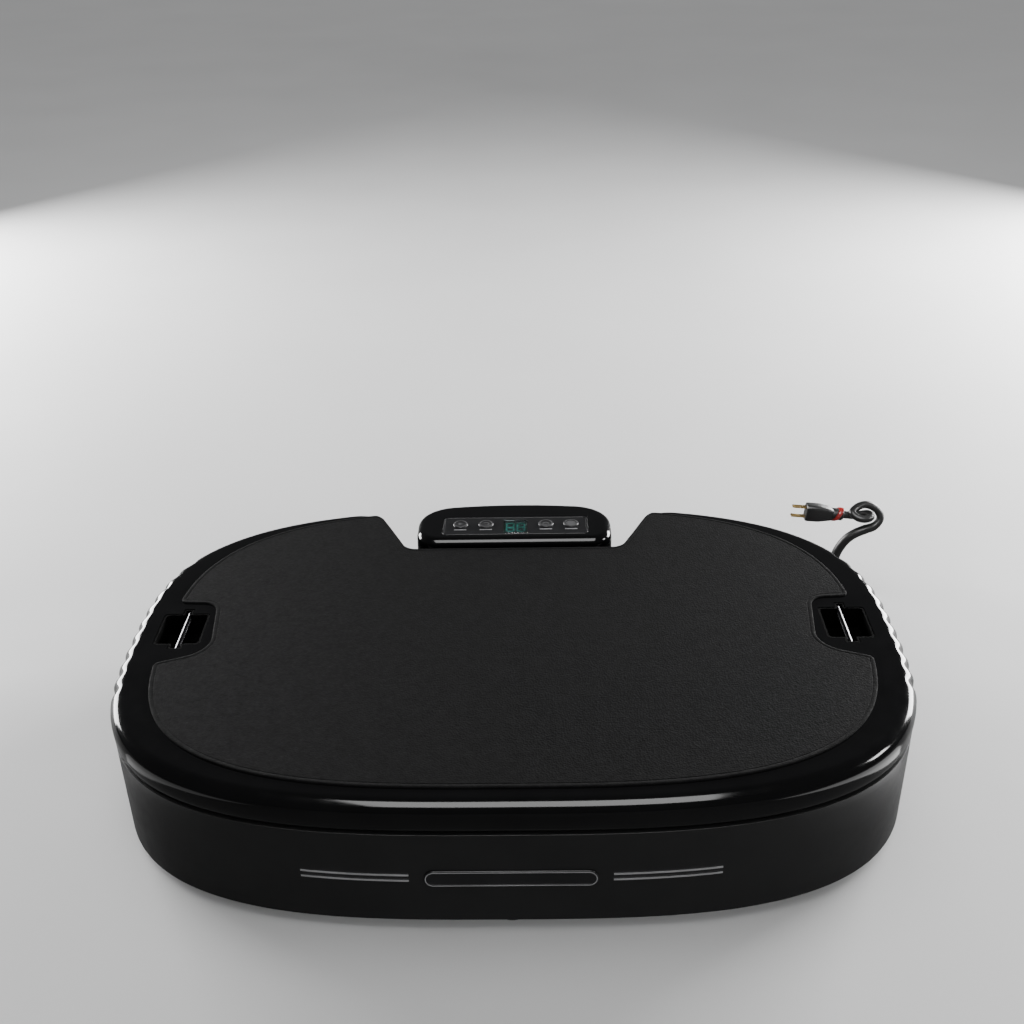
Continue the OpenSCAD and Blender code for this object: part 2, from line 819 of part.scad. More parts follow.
module console_screws() {
    color([0.7, 0.7, 0.72]) at_places(board_holes) translate([0, 0, board_screw_low])
        cap_screw(board_screw_r, board_z - board_screw_low, 3, 1.6);
}

module push_button(x) {
    low = board_z + 4.7 + button_travel + 0.05;
    color([0.5, 0.5, 0.52]) translate([x, button_y, 0]) {
        translate([0, 0, low]) cylinder(r = 2.5, h = 5);
        translate([0, 0, low + 2]) cylinder(r = button_r, h = pod_top + 1 - low - 2);
    }
}

module play_button() {
    push_button(buttons_x[0]);
}

module stop_button() {
    push_button(buttons_x[1]);
}

module time_button() {
    push_button(buttons_x[2]);
}

module level_button() {
    push_button(buttons_x[3]);
}

module console_cable() {
    x = cable_x;
    z = cable_z;
    color([0.3, 0.3, 0.32]) tube_along(spline([[x, 216, board_z - board_t - 0.2],
        [x, 217, board_z - 30], [x, 216, z + 30], [x, 210, z + 8], [x, 198, z], [x, 182, z],
        [x, 160, z], [x, 145, z], [60, 95, z], [100, 60, z], [127, 50, z + 2]], 4), 3, 10);
}

// ---- power entry ---------------------------------------------------------------------

inlet_face = -5.9;
socket_u = -14;
rocker_u = 18;
rocker_w = 13;
rocker_h = 19;
rocker_pin_r = 1.5;
rocker_v = inlet_face - 3;

// Round pin on the rocker's hinge line
module rocker_pins(r, w) {
    translate([rocker_u - w / 2, rocker_v, 0]) rotate([0, 90, 0]) cylinder(r = r, h = w);
}

module inlet_panel() {
    gap = 0.4;
    color([0.04, 0.04, 0.04]) at_inlet() difference() {
        union() {
            translate([-inlet_w / 2 + gap, inlet_face - 5, -inlet_h / 2 + gap])
                cube([inlet_w - 2 * gap, 5, inlet_h - 2 * gap]);
            translate([-inlet_w / 2 - 4, inlet_face - 10.5, -inlet_h / 2 - 4])
                cube([inlet_w + 8, 5.5, inlet_h + 8]);
        }
        translate([socket_u - 14, -25, -10]) cube([28, 30, 20]);
        translate([rocker_u - rocker_w / 2 - 0.5, -25, -rocker_h / 2 - 0.5])
            cube([rocker_w + 1, 30, rocker_h + 1]);
        rocker_pins(rocker_pin_r + 0.05, rocker_w + 3.2);
    }
}

module power_inlet() {
    color([0.08, 0.08, 0.08]) at_inlet() difference() {
        translate([socket_u - 13.9, -40, -9.9]) cube([27.8, 40 + inlet_face, 19.8]);
        translate([socket_u - 12.4, -32, -8.4]) cube([24.8, 40, 16.8]);
    }
}

connector_out = 40;

module cord_connector() {
    color([0.05, 0.05, 0.05]) at_inlet() difference() {
        union() {
            translate([socket_u - 12, -31, -8]) cube([24, 31 + inlet_face + 2, 16]);
            translate([socket_u - 14.5, inlet_face + 1, -9.5]) cube([29, 26, 19]);
            translate([socket_u, 0, 0]) rotate([-90, 0, 0])
                cylinder(r1 = 9, r2 = sleeve_r + 1.6, h = connector_out);
        }
        translate([socket_u, 0, 0]) along_y(connector_out - 8, connector_out + 1, sleeve_r + 0.3);
    }
}

module power_switch() {
    color([0.6, 0.08, 0.08]) at_inlet() {
        rocker_pins(rocker_pin_r, rocker_w + 3);
        translate([rocker_u, rocker_v, 0]) rotate([8, 0, 0]) difference() {
            translate([-rocker_w / 2, -4, -rocker_h / 2 + 1.5]) cube([rocker_w, 9, rocker_h - 3]);
            translate([0, 24, 0]) rotate([0, 90, 0]) cylinder(r = 20, h = 40, center = true, $fn = 64);
        }
    }
}

// Point of the inlet's own frame in the part's frame
inlet_turn = atan2(pow(inlet_x / half_w, plan_power - 1) / half_w,
    pow(rim_y(inlet_x) / half_d, plan_power - 1) / half_d);
function from_inlet(u, v) = [inlet_x + u * cos(inlet_turn) + v * sin(inlet_turn),
    rim_y(inlet_x) - u * sin(inlet_turn) + v * cos(inlet_turn), inlet_z];

plug_at = [405, 344, 83.5];
plug_rise = 6;
function before_plug(d) = plug_at + d * [cos(plug_rise), 0, -sin(plug_rise)];

// Way points of the lead: out of the inlet, down to the floor, up into a small curled loop
cord_way = [from_inlet(socket_u, connector_out - 7), from_inlet(socket_u, connector_out + 1),
    from_inlet(socket_u, connector_out + 20) - [0, 0, 3],
    [342, 309, 24], [368, 331, 8], [386, 339, 8.5], [397, 339, 22],
    [402, 337, 38], [409, 335, 52], [418, 334, 61], [431, 334, 67.5], [443, 336, 71],
    [450, 339, 79], [448, 342, 88], [439, 344, 95], [429, 344, 97], [419, 339, 95],
    [414, 333, 91.5], [419, 327.5, 88], [428, 325.5, 86.5], [436, 330, 87], [434.5, 338, 87.5],
    [427, 343, 84.2], before_plug(14), before_plug(7), before_plug(-6)];
sleeve_end = 10;
sleeve_taper = 2;

// Radius of the lead at a way point's place in the list
function lead_r(i) = sleeve_r
    + (cord_r - sleeve_r) * min(1, max(0, (i - sleeve_end) / sleeve_taper));

function spline_point(a, b, c, d, t) = 0.5 * (2 * b + (c - a) * t
    + (2 * a - 5 * b + 4 * c - d) * (t * t) + (3 * b - a - 3 * c + d) * (t * t * t));

// Smooth curve through every way point
function spline(p, m) = let (n = len(p)) concat([for (i = [0 : n - 2], k = [0 : m - 1])
    spline_point(p[max(i - 1, 0)], p[i], p[i + 1], p[min(i + 2, n - 1)], k / m)], [p[n - 1]]);

// Round tube along a curve, squared up against a direction that no stretch runs along
tube_ref = [0.3, 0.9, 0.25];
function tube_ring(p, i, r, sides, ref = tube_ref) = let (n = len(p),
    t = unit(p[min(i + 1, n - 1)] - p[max(i - 1, 0)]),
    u = unit(cross(t, ref)),
    v = cross(t, u))
    [for (k = [0 : sides - 1]) let (a = 360 / sides * k) p[i] + u * (r * cos(a)) + v * (r * sin(a))];

module tube_along(p, r, sides, ref = tube_ref) {
    skin([for (i = [0 : len(p) - 1]) tube_ring(p, i, r, sides, ref)]);
}

cord_steps = 4;

module power_cord() {
    p = spline(cord_way, cord_steps);
    color([0.05, 0.05, 0.05]) skin([for (i = [0 : len(p) - 1])
        tube_ring(p, i, lead_r(i / cord_steps), 12)]);
}

// Frame of the plug, +X out along its pins
module at_plug() {
    translate(plug_at) rotate([0, plug_rise - 180, 0]) children();
}

module along_x(x0, x1, r) {
    translate([x0, 0, 0]) rotate([0, 90, 0]) cylinder(r = r, h = x1 - x0);
}

neck_r = 7.5;
neck_l = 15;
plug_l = 32;
plug_w = 22;
plug_t = 16;
plug_flare = 0.55;
collar_w = 5;
collar_t = 1.2;
collar_lean = 28;
pin_l = 17;
pin_gap = 12.7;
pin_w = 6.4;
pin_t = 1.6;

// Red band round the plug's neck, cut off on the slant
module cord_tie() {
    color([0.75, 0.08, 0.06]) at_plug() intersection() {
        difference() {
            along_x(-neck_l, 2 * neck_l, neck_r + collar_t);
            along_x(-neck_l - 1, 2 * neck_l + 1, neck_r);
        }
        translate([neck_l / 2, 0, 0]) rotate([0, collar_lean, 0])
            cube([collar_w, 4 * neck_r, 4 * neck_r], center = true);
    }
}

module power_plug() {
    body_end = neck_l + plug_l;
    flare_end = neck_l + plug_l * plug_flare;
    color([0.05, 0.05, 0.05]) at_plug() difference() {
        union() {
            along_x(0, neck_l + 2, neck_r);
            rotate([90, 0, 0]) linear_extrude(plug_t, center = true)
                polygon([[neck_l, -neck_r], [flare_end, -plug_w / 2], [body_end, -plug_w / 2],
                    [body_end, plug_w / 2], [flare_end, plug_w / 2], [neck_l, neck_r]]);
        }
        along_x(-1, 7, cord_r + 0.1);
    }
}

module plug_pins() {
    color([0.75, 0.65, 0.35]) at_plug() for (z = [-pin_gap / 2, pin_gap / 2])
        translate([neck_l + plug_l, -pin_w / 2, z - pin_t / 2]) cube([pin_l, pin_w, pin_t]);
}

// ---- front trim ----------------------------------------------------------------------

badge_w = 150;
badge_h = 17;
badge_z = 60;
badge_in = (skirt_foot_in + skirt_in) / 2 + 0.05;
wall_lean = 1.5;
stripe_from = 88;
stripe_to = 182;

module front_badge() {
    color([0.55, 0.56, 0.58]) translate([0, -half_d + badge_in - 0.2, badge_z])
        rotate([90 + wall_lean, 0, 0]) linear_extrude(1.3) offset(badge_h / 2)
            square([badge_w - badge_h, 0.01], center = true);
}

module front_pinstripes() {
    color([0.6, 0.6, 0.62]) both_sides() for (z = [badge_z - 3, badge_z + 3])
        translate([0, 0, z - 0.7]) linear_extrude(1.4) intersection() {
            difference() {
                polygon(inset(coarse, badge_in - 0.9));
                polygon(inset(coarse, badge_in - 0.2));
            }
            translate([stripe_from, -half_d - 5]) square([stripe_to - stripe_from, 60]);
        }
}

base_skirt();
base_plate();
rubber_feet();
foot_studs();
isolator_posts();
rubber_isolators();
console_column();
console_housing();
console_faceplate();
display_window();
display_module();
display_digits();
console_board();
tact_switches();
panel_marks();
console_screws();
play_button();
stop_button();
time_button();
level_button();
inlet_panel();
power_inlet();
power_switch();
cord_connector();
power_cord();
cord_tie();
power_plug();
plug_pins();
mains_leads();
drive_board();
drive_components();
drive_heatsink();
motor_leads();
console_cable();
skirt_screws();
front_badge();
front_pinstripes();
deck_cover();
deck_plate();
deck_frame();
deck_mat();
strap_pocket_left();
strap_pocket_right();
strap_bar_left();
strap_bar_right();
deck_screws();
motor_brackets();
bracket_bolts();
motor_housings();
motor_end_caps();
motor_bearings();
stator_magnets();
rotor_shaft_left();
rotor_shaft_right();
rotor_core_left();
rotor_core_right();
eccentric_weights_left();
eccentric_weights_right();
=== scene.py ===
"""Looks of a vibration plate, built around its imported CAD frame. Units are metres."""
import json
import math

import bpy
from mathutils import Matrix, Vector


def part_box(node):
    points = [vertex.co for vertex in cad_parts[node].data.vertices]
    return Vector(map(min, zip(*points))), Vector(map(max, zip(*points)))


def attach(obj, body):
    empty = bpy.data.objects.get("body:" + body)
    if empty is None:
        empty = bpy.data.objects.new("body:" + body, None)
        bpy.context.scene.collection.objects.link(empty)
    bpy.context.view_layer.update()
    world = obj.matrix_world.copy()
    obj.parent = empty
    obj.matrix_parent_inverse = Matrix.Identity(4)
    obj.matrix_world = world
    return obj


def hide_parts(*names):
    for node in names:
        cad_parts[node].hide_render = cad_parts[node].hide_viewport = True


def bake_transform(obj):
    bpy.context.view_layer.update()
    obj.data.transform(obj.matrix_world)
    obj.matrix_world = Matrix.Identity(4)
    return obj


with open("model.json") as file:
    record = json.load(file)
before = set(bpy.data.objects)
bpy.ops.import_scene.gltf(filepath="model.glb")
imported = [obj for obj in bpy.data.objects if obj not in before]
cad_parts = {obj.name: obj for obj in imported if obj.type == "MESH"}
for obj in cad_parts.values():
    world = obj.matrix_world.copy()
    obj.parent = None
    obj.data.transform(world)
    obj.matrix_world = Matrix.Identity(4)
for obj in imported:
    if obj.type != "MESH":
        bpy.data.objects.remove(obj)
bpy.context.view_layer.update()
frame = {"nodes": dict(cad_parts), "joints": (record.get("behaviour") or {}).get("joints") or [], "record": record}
NODES = frame["nodes"]
MM = 0.001

# ---- sizes read from the frame -----------------------------------------------------------

COVER_LO, COVER_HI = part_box("deck_cover")
SKIRT_LO, SKIRT_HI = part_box("base_skirt")
HALF_W = COVER_HI.x
HALF_D = -COVER_LO.y
DECK_TOP = COVER_HI.z
SEAM = COVER_LO.z
POD_LO, POD_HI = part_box("console_housing")
COLUMN_LO, COLUMN_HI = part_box("console_column")
MAT_LO, MAT_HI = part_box("deck_mat")

REAR_POWER, FRONT_POWER = 2.85, 3.1
CORNER = 0.5 ** (1 / REAR_POWER)
FRONT_CORNER = 0.5 ** (1 / FRONT_POWER)
RIM_REACH = 13 * MM
RIM_DROP = 13 * MM
LIP_IN = 2 * MM
LIP_SWEEP = math.radians(78)
COVER_T = 3.5 * MM
WALL_IN = 9 * MM
GRIP_REAR, GRIP_FRONT = 158 * MM, -105 * MM
SCALLOP_PITCH, SCALLOP_DEPTH = 26.5 * MM, 3.3 * MM
NOTCH_Y, NOTCH_HALF = 172 * MM, 115.3 * MM
NOTCH_SPLAY = math.tan(math.radians(24))
NOTCH_LOW = 6.5 * MM
MOUTH_X, MOUTH_Y = 188 * MM, 238 * MM
SKIRT_IN, SKIRT_FOOT_IN, SKIRT_T = 1 * MM, 3.6 * MM, 3 * MM
SKIRT_EDGE = 0.3 * MM
SKIRT_FOOT_R, SKIRT_FOOT_LEAN = 2 * MM, 1.5 * MM
TONGUE_W, INLET_W, INLET_H = 168 * MM, 63 * MM, 32 * MM
ROCKER_U, ROCKER_V = 18 * MM, -8.9 * MM


# ---- outline ------------------------------------------------------------------------------

def rim_y(x, power=REAR_POWER):
    return HALF_D * (1 - (abs(x) / HALF_W) ** power) ** (1 / power)


def rim_x(y):
    power = FRONT_POWER if y < 0 else REAR_POWER
    return HALF_W * (1 - (abs(y) / HALF_D) ** power) ** (1 / power)


def bend(a, s, b, steps):
    """Points of a smooth corner from a to b that heads for s."""
    k = 0.58
    c1 = [a[i] + (s[i] - a[i]) * k for i in (0, 1)]
    c2 = [b[i] + (s[i] - b[i]) * k for i in (0, 1)]
    points = []
    for step in range(steps + 1):
        t = step / steps
        u = 1 - t
        w = (u ** 3, 3 * u * u * t, 3 * u * t * t, t ** 3)
        points.append(tuple(a[i] * w[0] + c1[i] * w[1] + c2[i] * w[2] + b[i] * w[3]
                            for i in (0, 1)))
    return points


def span(a, b, steps):
    """Steps points from a towards b, without b."""
    return [a + (b - a) * i / steps for i in range(steps)]


def line(a, b, steps):
    """Points strictly between a and b."""
    return [tuple(a[k] + (b[k] - a[k]) * i / steps for k in (0, 1)) for i in range(1, steps)]


def flipped(points):
    return [(-x, y) for x, y in reversed(points)]


def notch_side():
    """Right side of the notch, from the outline to its floor."""
    side_x = NOTCH_HALF + (MOUTH_Y - NOTCH_Y) * NOTCH_SPLAY
    rise = rim_y(MOUTH_X)
    slope = (-(MOUTH_X / HALF_W) ** (REAR_POWER - 1) / HALF_W
             / ((rise / HALF_D) ** (REAR_POWER - 1) / HALF_D))
    s_y = ((rise + slope * (NOTCH_HALF - NOTCH_Y * NOTCH_SPLAY - MOUTH_X))
           / (1 - slope * NOTCH_SPLAY))
    s = (NOTCH_HALF + (s_y - NOTCH_Y) * NOTCH_SPLAY, s_y)
    low = (NOTCH_HALF + NOTCH_LOW * NOTCH_SPLAY, NOTCH_Y + NOTCH_LOW)
    floor_end = (NOTCH_HALF - NOTCH_LOW, NOTCH_Y)
    return (bend((MOUTH_X, rise), s, (side_x, MOUTH_Y), 18)
            + line((side_x, MOUTH_Y), low, 8)
            + bend(low, (NOTCH_HALF, NOTCH_Y), floor_end, 10)
            + line(floor_end, (0, NOTCH_Y), 10))


def plan_outline(side_steps):
    """The platform's outline, anticlockwise from above."""
    cx, cy = HALF_W * CORNER, HALF_D * CORNER
    fx, fy = HALF_W * FRONT_CORNER, HALF_D * FRONT_CORNER
    right = ([(rim_x(y), y) for y in span(-fy, cy, side_steps)]
             + [(x, rim_y(x)) for x in span(cx, MOUTH_X, 20)]
             + notch_side())
    front = [(x, -rim_y(x, FRONT_POWER)) for x in span(-fx, fx, 96)[1:]]
    return [(0, NOTCH_Y)] + flipped(right) + front + right


def inset(points, d):
    """Points moved inward by d, each along the outline's own normal."""
    moved = []
    n = len(points)
    for i, (x, y) in enumerate(points):
        ax, ay = points[i - 1]
        bx, by = points[(i + 1) % n]
        length = math.hypot(bx - ax, by - ay)
        moved.append((x - (by - ay) / length * d, y + (bx - ax) / length * d))
    return moved


def at_z(points, z):
    return [(x, y, z) for x, y in points]


# ---- mesh helpers -------------------------------------------------------------------------

# A direction that no stretch of the lead runs along, to turn the tube's rings from
TUBE_SKEW = Vector((0.3, 0.9, 0.25))


def piece(name, verts, faces, material, body, sharp=35):
    mesh = bpy.data.meshes.new(name)
    mesh.from_pydata([tuple(v) for v in verts], [], faces)
    mesh.validate()
    obj = bpy.data.objects.new(name, mesh)
    bpy.context.scene.collection.objects.link(obj)
    finish_piece(obj, material, body, sharp)
    return obj


def finish_piece(obj, material, body, sharp=35):
    mesh = obj.data
    mesh.materials.clear()
    mesh.materials.append(material)
    for poly in mesh.polygons:
        poly.use_smooth = True
    mesh.set_sharp_from_angle(angle=math.radians(sharp))
    for poly in mesh.polygons:
        if len(poly.vertices) > 8:
            for i in poly.loop_indices:
                mesh.edges[mesh.loops[i].edge_index].use_edge_sharp = True
    if body:
        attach(obj, body)


def loft(name, rings, material, body=None, closed=False, sharp=35):
    """Skin over rings of equal counts, capped at both ends or closed on itself."""
    n = len(rings[0])
    verts = [v for ring in rings for v in ring]
    faces = []
    last = len(rings) if closed else len(rings) - 1
    for k in range(last):
        a, b = k * n, (k + 1) % len(rings) * n
        for i in range(n):
            j = (i + 1) % n
            faces.append((a + i, a + j, b + j, b + i))
    if not closed:
        faces.append(tuple(reversed(range(n))))
        faces.append(tuple(range((len(rings) - 1) * n, len(rings) * n)))
    return piece(name, verts, faces, material, body, sharp)


def cut(obj, *cutters):
    """Takes the cutters out of obj, for good."""
    for cutter in cutters:
        modifier = obj.modifiers.new("cut", "BOOLEAN")
        modifier.operation = "DIFFERENCE"
        modifier.solver = "EXACT"
        modifier.object = cutter
    bake(obj)
    for cutter in cutters:
        bpy.data.objects.remove(cutter)


def bake(obj):
    """Applies every modifier of obj."""
    bpy.context.view_layer.update()
    graph = bpy.context.evaluated_depsgraph_get()
    mesh = bpy.data.meshes.new_from_object(obj.evaluated_get(graph))
    obj.modifiers.clear()
    obj.data = mesh


def rounded_rect(w, d, r, steps=6, centre=(0, 0)):
    """A w by d rectangle with corners of radius r, anticlockwise."""
    points = []
    for quarter, (sx, sy) in enumerate(((1, 1), (-1, 1), (-1, -1), (1, -1))):
        cx, cy = centre[0] + sx * (w / 2 - r), centre[1] + sy * (d / 2 - r)
        for i in range(steps + 1):
            a = math.radians(90 * (quarter + i / steps))
            points.append((cx + r * math.cos(a), cy + r * math.sin(a)))
    return points


def prism(points, z0, z1):
    return loft("cutter", [at_z(points, z0), at_z(points, z1)], MATERIALS["satin_black"])


def spin(name, profile, steps, material, body=None, sharp=35):
    """Solid of revolution about Z of a profile of (radius, height) from axis to axis."""
    verts = [(0, 0, profile[0][1])]
    for r, z in profile[1:-1]:
        verts += [(r * math.cos(a), r * math.sin(a), z)
                  for a in (2 * math.pi * i / steps for i in range(steps))]
    verts.append((0, 0, profile[-1][1]))
    faces = []
    end = len(verts) - 1
    rows = len(profile) - 2
    for i in range(steps):
        j = (i + 1) % steps
        faces.append((0, 1 + j, 1 + i))
        for k in range(rows - 1):
            a, b = 1 + k * steps, 1 + (k + 1) * steps
            faces.append((a + i, a + j, b + j, b + i))
        faces.append((1 + (rows - 1) * steps + i, 1 + (rows - 1) * steps + j, end))
    return piece(name, verts, faces, material, body, sharp)


def tube(name, path, radius, sides, material, body):
    """Round tube along a path. radius is a function of the share of the path travelled."""
    rings = []
    n = len(path)
    for i, p in enumerate(path):
        t = (path[min(i + 1, n - 1)] - path[max(i - 1, 0)]).normalized()
        u = t.cross(TUBE_SKEW).normalized()
        v = t.cross(u)
        r = radius(i / (n - 1))
        rings.append([p + u * (r * math.cos(a)) + v * (r * math.sin(a))
                      for a in (2 * math.pi * k / sides for k in range(sides))])
    return loft(name, rings, material, body)


def spline(way, steps):
    """Smooth path through every way point."""
    points = []
    n = len(way)
    for i in range(n - 1):
        a, b, c, d = (way[max(i - 1, 0)], way[i], way[i + 1], way[min(i + 2, n - 1)])
        for k in range(steps):
            t = k / steps
            points.append(0.5 * (2 * b + (c - a) * t + (2 * a - 5 * b + 4 * c - d) * t * t
                                 + (3 * b - a - 3 * c + d) * t ** 3))
    return points + [way[-1]]


# ---- materials ----------------------------------------------------------------------------

def shade(name, color, rough, metal=0.0, vary=0.15, vary_scale=25.0, rough_vary=0.08,
          grain=0.0, grain_scale=900.0, grain_kind="noise", coat=0.0, coat_rough=0.05,
          emit=None, specular=0.5, transmission=0.0, scuff=0.0):
    """A procedural material: mottled colour and roughness, fine grain in the bump, and wear."""
    m = bpy.data.materials.new(name)
    m.use_nodes = True
    nodes, links = m.node_tree.nodes, m.node_tree.links
    bsdf = nodes["Principled BSDF"]
    place = nodes.new("ShaderNodeTexCoord")

    def noise(scale, detail=4.0):
        node = nodes.new("ShaderNodeTexNoise")
        node.inputs["Scale"].default_value = scale
        node.inputs["Detail"].default_value = detail
        links.new(place.outputs["Object"], node.inputs["Vector"])
        return node.outputs["Fac"]

    def ramp(source, low, high, at=(0.3, 0.7)):
        node = nodes.new("ShaderNodeMapRange")
        node.inputs["From Min"].default_value = at[0]
        node.inputs["From Max"].default_value = at[1]
        node.inputs["To Min"].default_value = low
        node.inputs["To Max"].default_value = high
        links.new(source, node.inputs["Value"])
        return node.outputs["Result"]

    mottled = nodes.new("ShaderNodeMix")
    mottled.data_type = "RGBA"
    mottled.inputs["A"].default_value = [c * (1 - vary) for c in color] + [1]
    mottled.inputs["B"].default_value = [min(1, c * (1 + vary)) for c in color] + [1]
    links.new(ramp(noise(vary_scale), 0, 1), mottled.inputs["Factor"])
    links.new(mottled.outputs["Result"], bsdf.inputs["Base Color"])
    rough_source = ramp(noise(vary_scale * 2.3, 6.0), rough - rough_vary, rough + rough_vary)
    if scuff:
        add = nodes.new("ShaderNodeMath")
        add.operation = "ADD"
        links.new(rough_source, add.inputs[0])
        links.new(ramp(noise(8.0, 8.0), 0, scuff, (0.55, 0.75)), add.inputs[1])
        rough_source = add.outputs["Value"]
    links.new(rough_source, bsdf.inputs["Roughness"])
    bsdf.inputs["Metallic"].default_value = metal
    bsdf.inputs["Coat Weight"].default_value = coat
    bsdf.inputs["Coat Roughness"].default_value = coat_rough
    bsdf.inputs["Specular IOR Level"].default_value = specular
    bsdf.inputs["Transmission Weight"].default_value = transmission
    if emit:
        bsdf.inputs["Emission Color"].default_value = list(emit[:3]) + [1]
        bsdf.inputs["Emission Strength"].default_value = emit[3]
    if grain:
        bump = nodes.new("ShaderNodeBump")
        bump.inputs["Distance"].default_value = grain * MM
        bump.inputs["Strength"].default_value = 0.6
        if grain_kind == "pebble":
            cells = nodes.new("ShaderNodeTexVoronoi")
            cells.inputs["Scale"].default_value = grain_scale
            links.new(place.outputs["Object"], cells.inputs["Vector"])
            links.new(cells.outputs["Distance"], bump.inputs["Height"])
        elif grain_kind == "brushed":
            stretch = nodes.new("ShaderNodeMapping")
            stretch.inputs["Scale"].default_value = (grain_scale, grain_scale * 0.03, grain_scale)
            links.new(place.outputs["Object"], stretch.inputs["Vector"])
            fine = nodes.new("ShaderNodeTexNoise")
            fine.inputs["Scale"].default_value = 1.0
            links.new(stretch.outputs["Vector"], fine.inputs["Vector"])
            links.new(fine.outputs["Fac"], bump.inputs["Height"])
        else:
            links.new(noise(grain_scale, 3.0), bump.inputs["Height"])
        links.new(bump.outputs["Normal"], bsdf.inputs["Normal"])
    return m


MATERIALS = {
    "gloss_black": shade("gloss_black", (0.0036, 0.0036, 0.0038), 0.1, rough_vary=0.03,
                         grain=0.02, grain_scale=60, scuff=0.06, specular=0.28),
    "satin_black": shade("satin_black", (0.011, 0.011, 0.0112), 0.4, rough_vary=0.04, grain=0.03,
                         grain_scale=1600, vary=0.1, specular=0.35),
    # Strap pockets: near black with next to no specular, darker than their own satin finish. This is painted shade
    # for the deep recess and its rim.
    "pocket_painted_shade": shade("pocket_painted_shade", (0.001, 0.001, 0.001), 0.7, grain=0.05,
                          grain_scale=1200, specular=0.03),
    "mat_rubber": shade("mat_rubber", (0.0032, 0.0032, 0.0033), 0.85, rough_vary=0.1, vary=0.4,
                        vary_scale=110, grain=0.35, grain_scale=520, grain_kind="pebble",
                        specular=0.08),
    "foot_rubber": shade("foot_rubber", (0.01, 0.01, 0.01), 0.8, grain=0.1, grain_scale=700),
    "isolator_rubber": shade("isolator_rubber", (0.014, 0.013, 0.013), 0.75, grain=0.15,
                             grain_scale=500),
    "black_steel": shade("black_steel", (0.02, 0.02, 0.021), 0.45, metal=0.2, grain=0.12,
                         grain_scale=900, vary=0.2),
    "zinc_steel": shade("zinc_steel", (0.55, 0.56, 0.58), 0.32, metal=1.0, grain=0.04,
                        grain_scale=2500, grain_kind="brushed", vary=0.12),
    "panel_film": shade("panel_film", (0.010, 0.010, 0.0108), 0.35, rough_vary=0.05, coat=0.05,
                        coat_rough=0.2, specular=0.35, grain=0.02, grain_scale=2000, vary=0.12),
    "display_glass": shade("display_glass", (0.55, 0.72, 0.72), 0.06, rough_vary=0.02, vary=0.1,
                           transmission=1.0),
    "component_black": shade("component_black", (0.012, 0.012, 0.012), 0.5, grain=0.05),
    "display_teal": shade("display_teal", (0.02, 0.16, 0.13), 0.4, emit=(0.02, 0.5, 0.42, 0.05)),
    "board_green": shade("board_green", (0.015, 0.12, 0.04), 0.35, coat=0.5, vary=0.3,
                         vary_scale=200),
    "silver_print": shade("silver_print", (0.46, 0.46, 0.47), 0.4, metal=0.6, grain=0.03,
                          grain_scale=1500, grain_kind="brushed"),
    "button_grey": shade("button_grey", (0.02, 0.02, 0.021), 0.4, coat=0.1, coat_rough=0.2,
                         specular=0.35, vary=0.12),
    "red_plastic": shade("red_plastic", (0.42, 0.015, 0.012), 0.35, coat=0.3, grain=0.03,
                         grain_scale=1200),
    "cord_black": shade("cord_black", (0.012, 0.012, 0.012), 0.4, grain=0.04, grain_scale=900,
                        vary=0.2),
    "brass_pin": shade("brass_pin", (0.7, 0.48, 0.18), 0.28, metal=1.0, grain=0.03,
                       grain_scale=2000, grain_kind="brushed"),
    "bare_aluminium": shade("bare_aluminium", (0.62, 0.63, 0.64), 0.42, metal=1.0, grain=0.15,
                            grain_scale=700, vary=0.1),
    "lead_red": shade("lead_red", (0.4, 0.02, 0.015), 0.45, grain=0.02),
    "chrome_bar": shade("chrome_bar", (0.06, 0.06, 0.063), 0.18, metal=1.0, rough_vary=0.04,
                        grain=0.01, grain_scale=2500, grain_kind="brushed", vary=0.08),
    "motor_paint": shade("motor_paint", (0.08, 0.09, 0.1), 0.4, grain=0.1, grain_scale=600,
                         coat=0.3),
    "magnet_iron": shade("magnet_iron", (0.08, 0.08, 0.085), 0.55, metal=0.8, grain=0.1),
    "winding_copper": shade("winding_copper", (0.5, 0.2, 0.07), 0.35, metal=0.9, grain=0.25,
                            grain_scale=450, grain_kind="brushed"),
    "weight_iron": shade("weight_iron", (0.22, 0.22, 0.23), 0.45, metal=1.0, grain=0.1,
                         grain_scale=900, vary=0.2),
}
ICON = shade("icon_print", (0.07, 0.07, 0.072), 0.5, vary=0.1)
BACKLIGHT = shade("backlight", (0.01, 0.08, 0.07), 0.5, emit=(0.01, 0.3, 0.26, 0.08))

# ---- carried-over CAD nodes ---------------------------------------------------------------

SLOTS = {s["node"]: s["material_slot"] for s in frame["record"]["subparts"]}
SOFT_EDGES = {"motor_brackets": 0.6, "deck_frame": 1.2, "motor_end_caps": 1.0,
              "eccentric_weights_left": 0.8, "eccentric_weights_right": 0.8,
              "drive_components": 0.8, "drive_heatsink": 0.4, "isolator_posts": 0.8,
              "strap_pocket_left": 0.2, "strap_pocket_right": 0.2, "inlet_panel": 0.6,
              "power_inlet": 0.5, "plug_pins": 0.35, "base_plate": 0.5}


def dress_cad_nodes():
    """Gives every CAD node its material, the strap pockets a near-black one as painted shade in their recess, and
    a soft edge to those that have square corners.
    """
    for name, obj in NODES.items():
        obj.data.materials.clear()
        # The strap pockets take the near-black material instead of their slot's: painted shade in the recess.
        pocket = name.startswith("strap_pocket")
        obj.data.materials.append(MATERIALS["pocket_painted_shade" if pocket else SLOTS[name]])
        if name in SOFT_EDGES:
            bevel = obj.modifiers.new("soft_edges", "BEVEL")
            bevel.width = SOFT_EDGES[name] * MM
            bevel.segments = 2
            bevel.limit_method = "ANGLE"
            bevel.angle_limit = math.radians(50)
            bevel.harden_normals = False


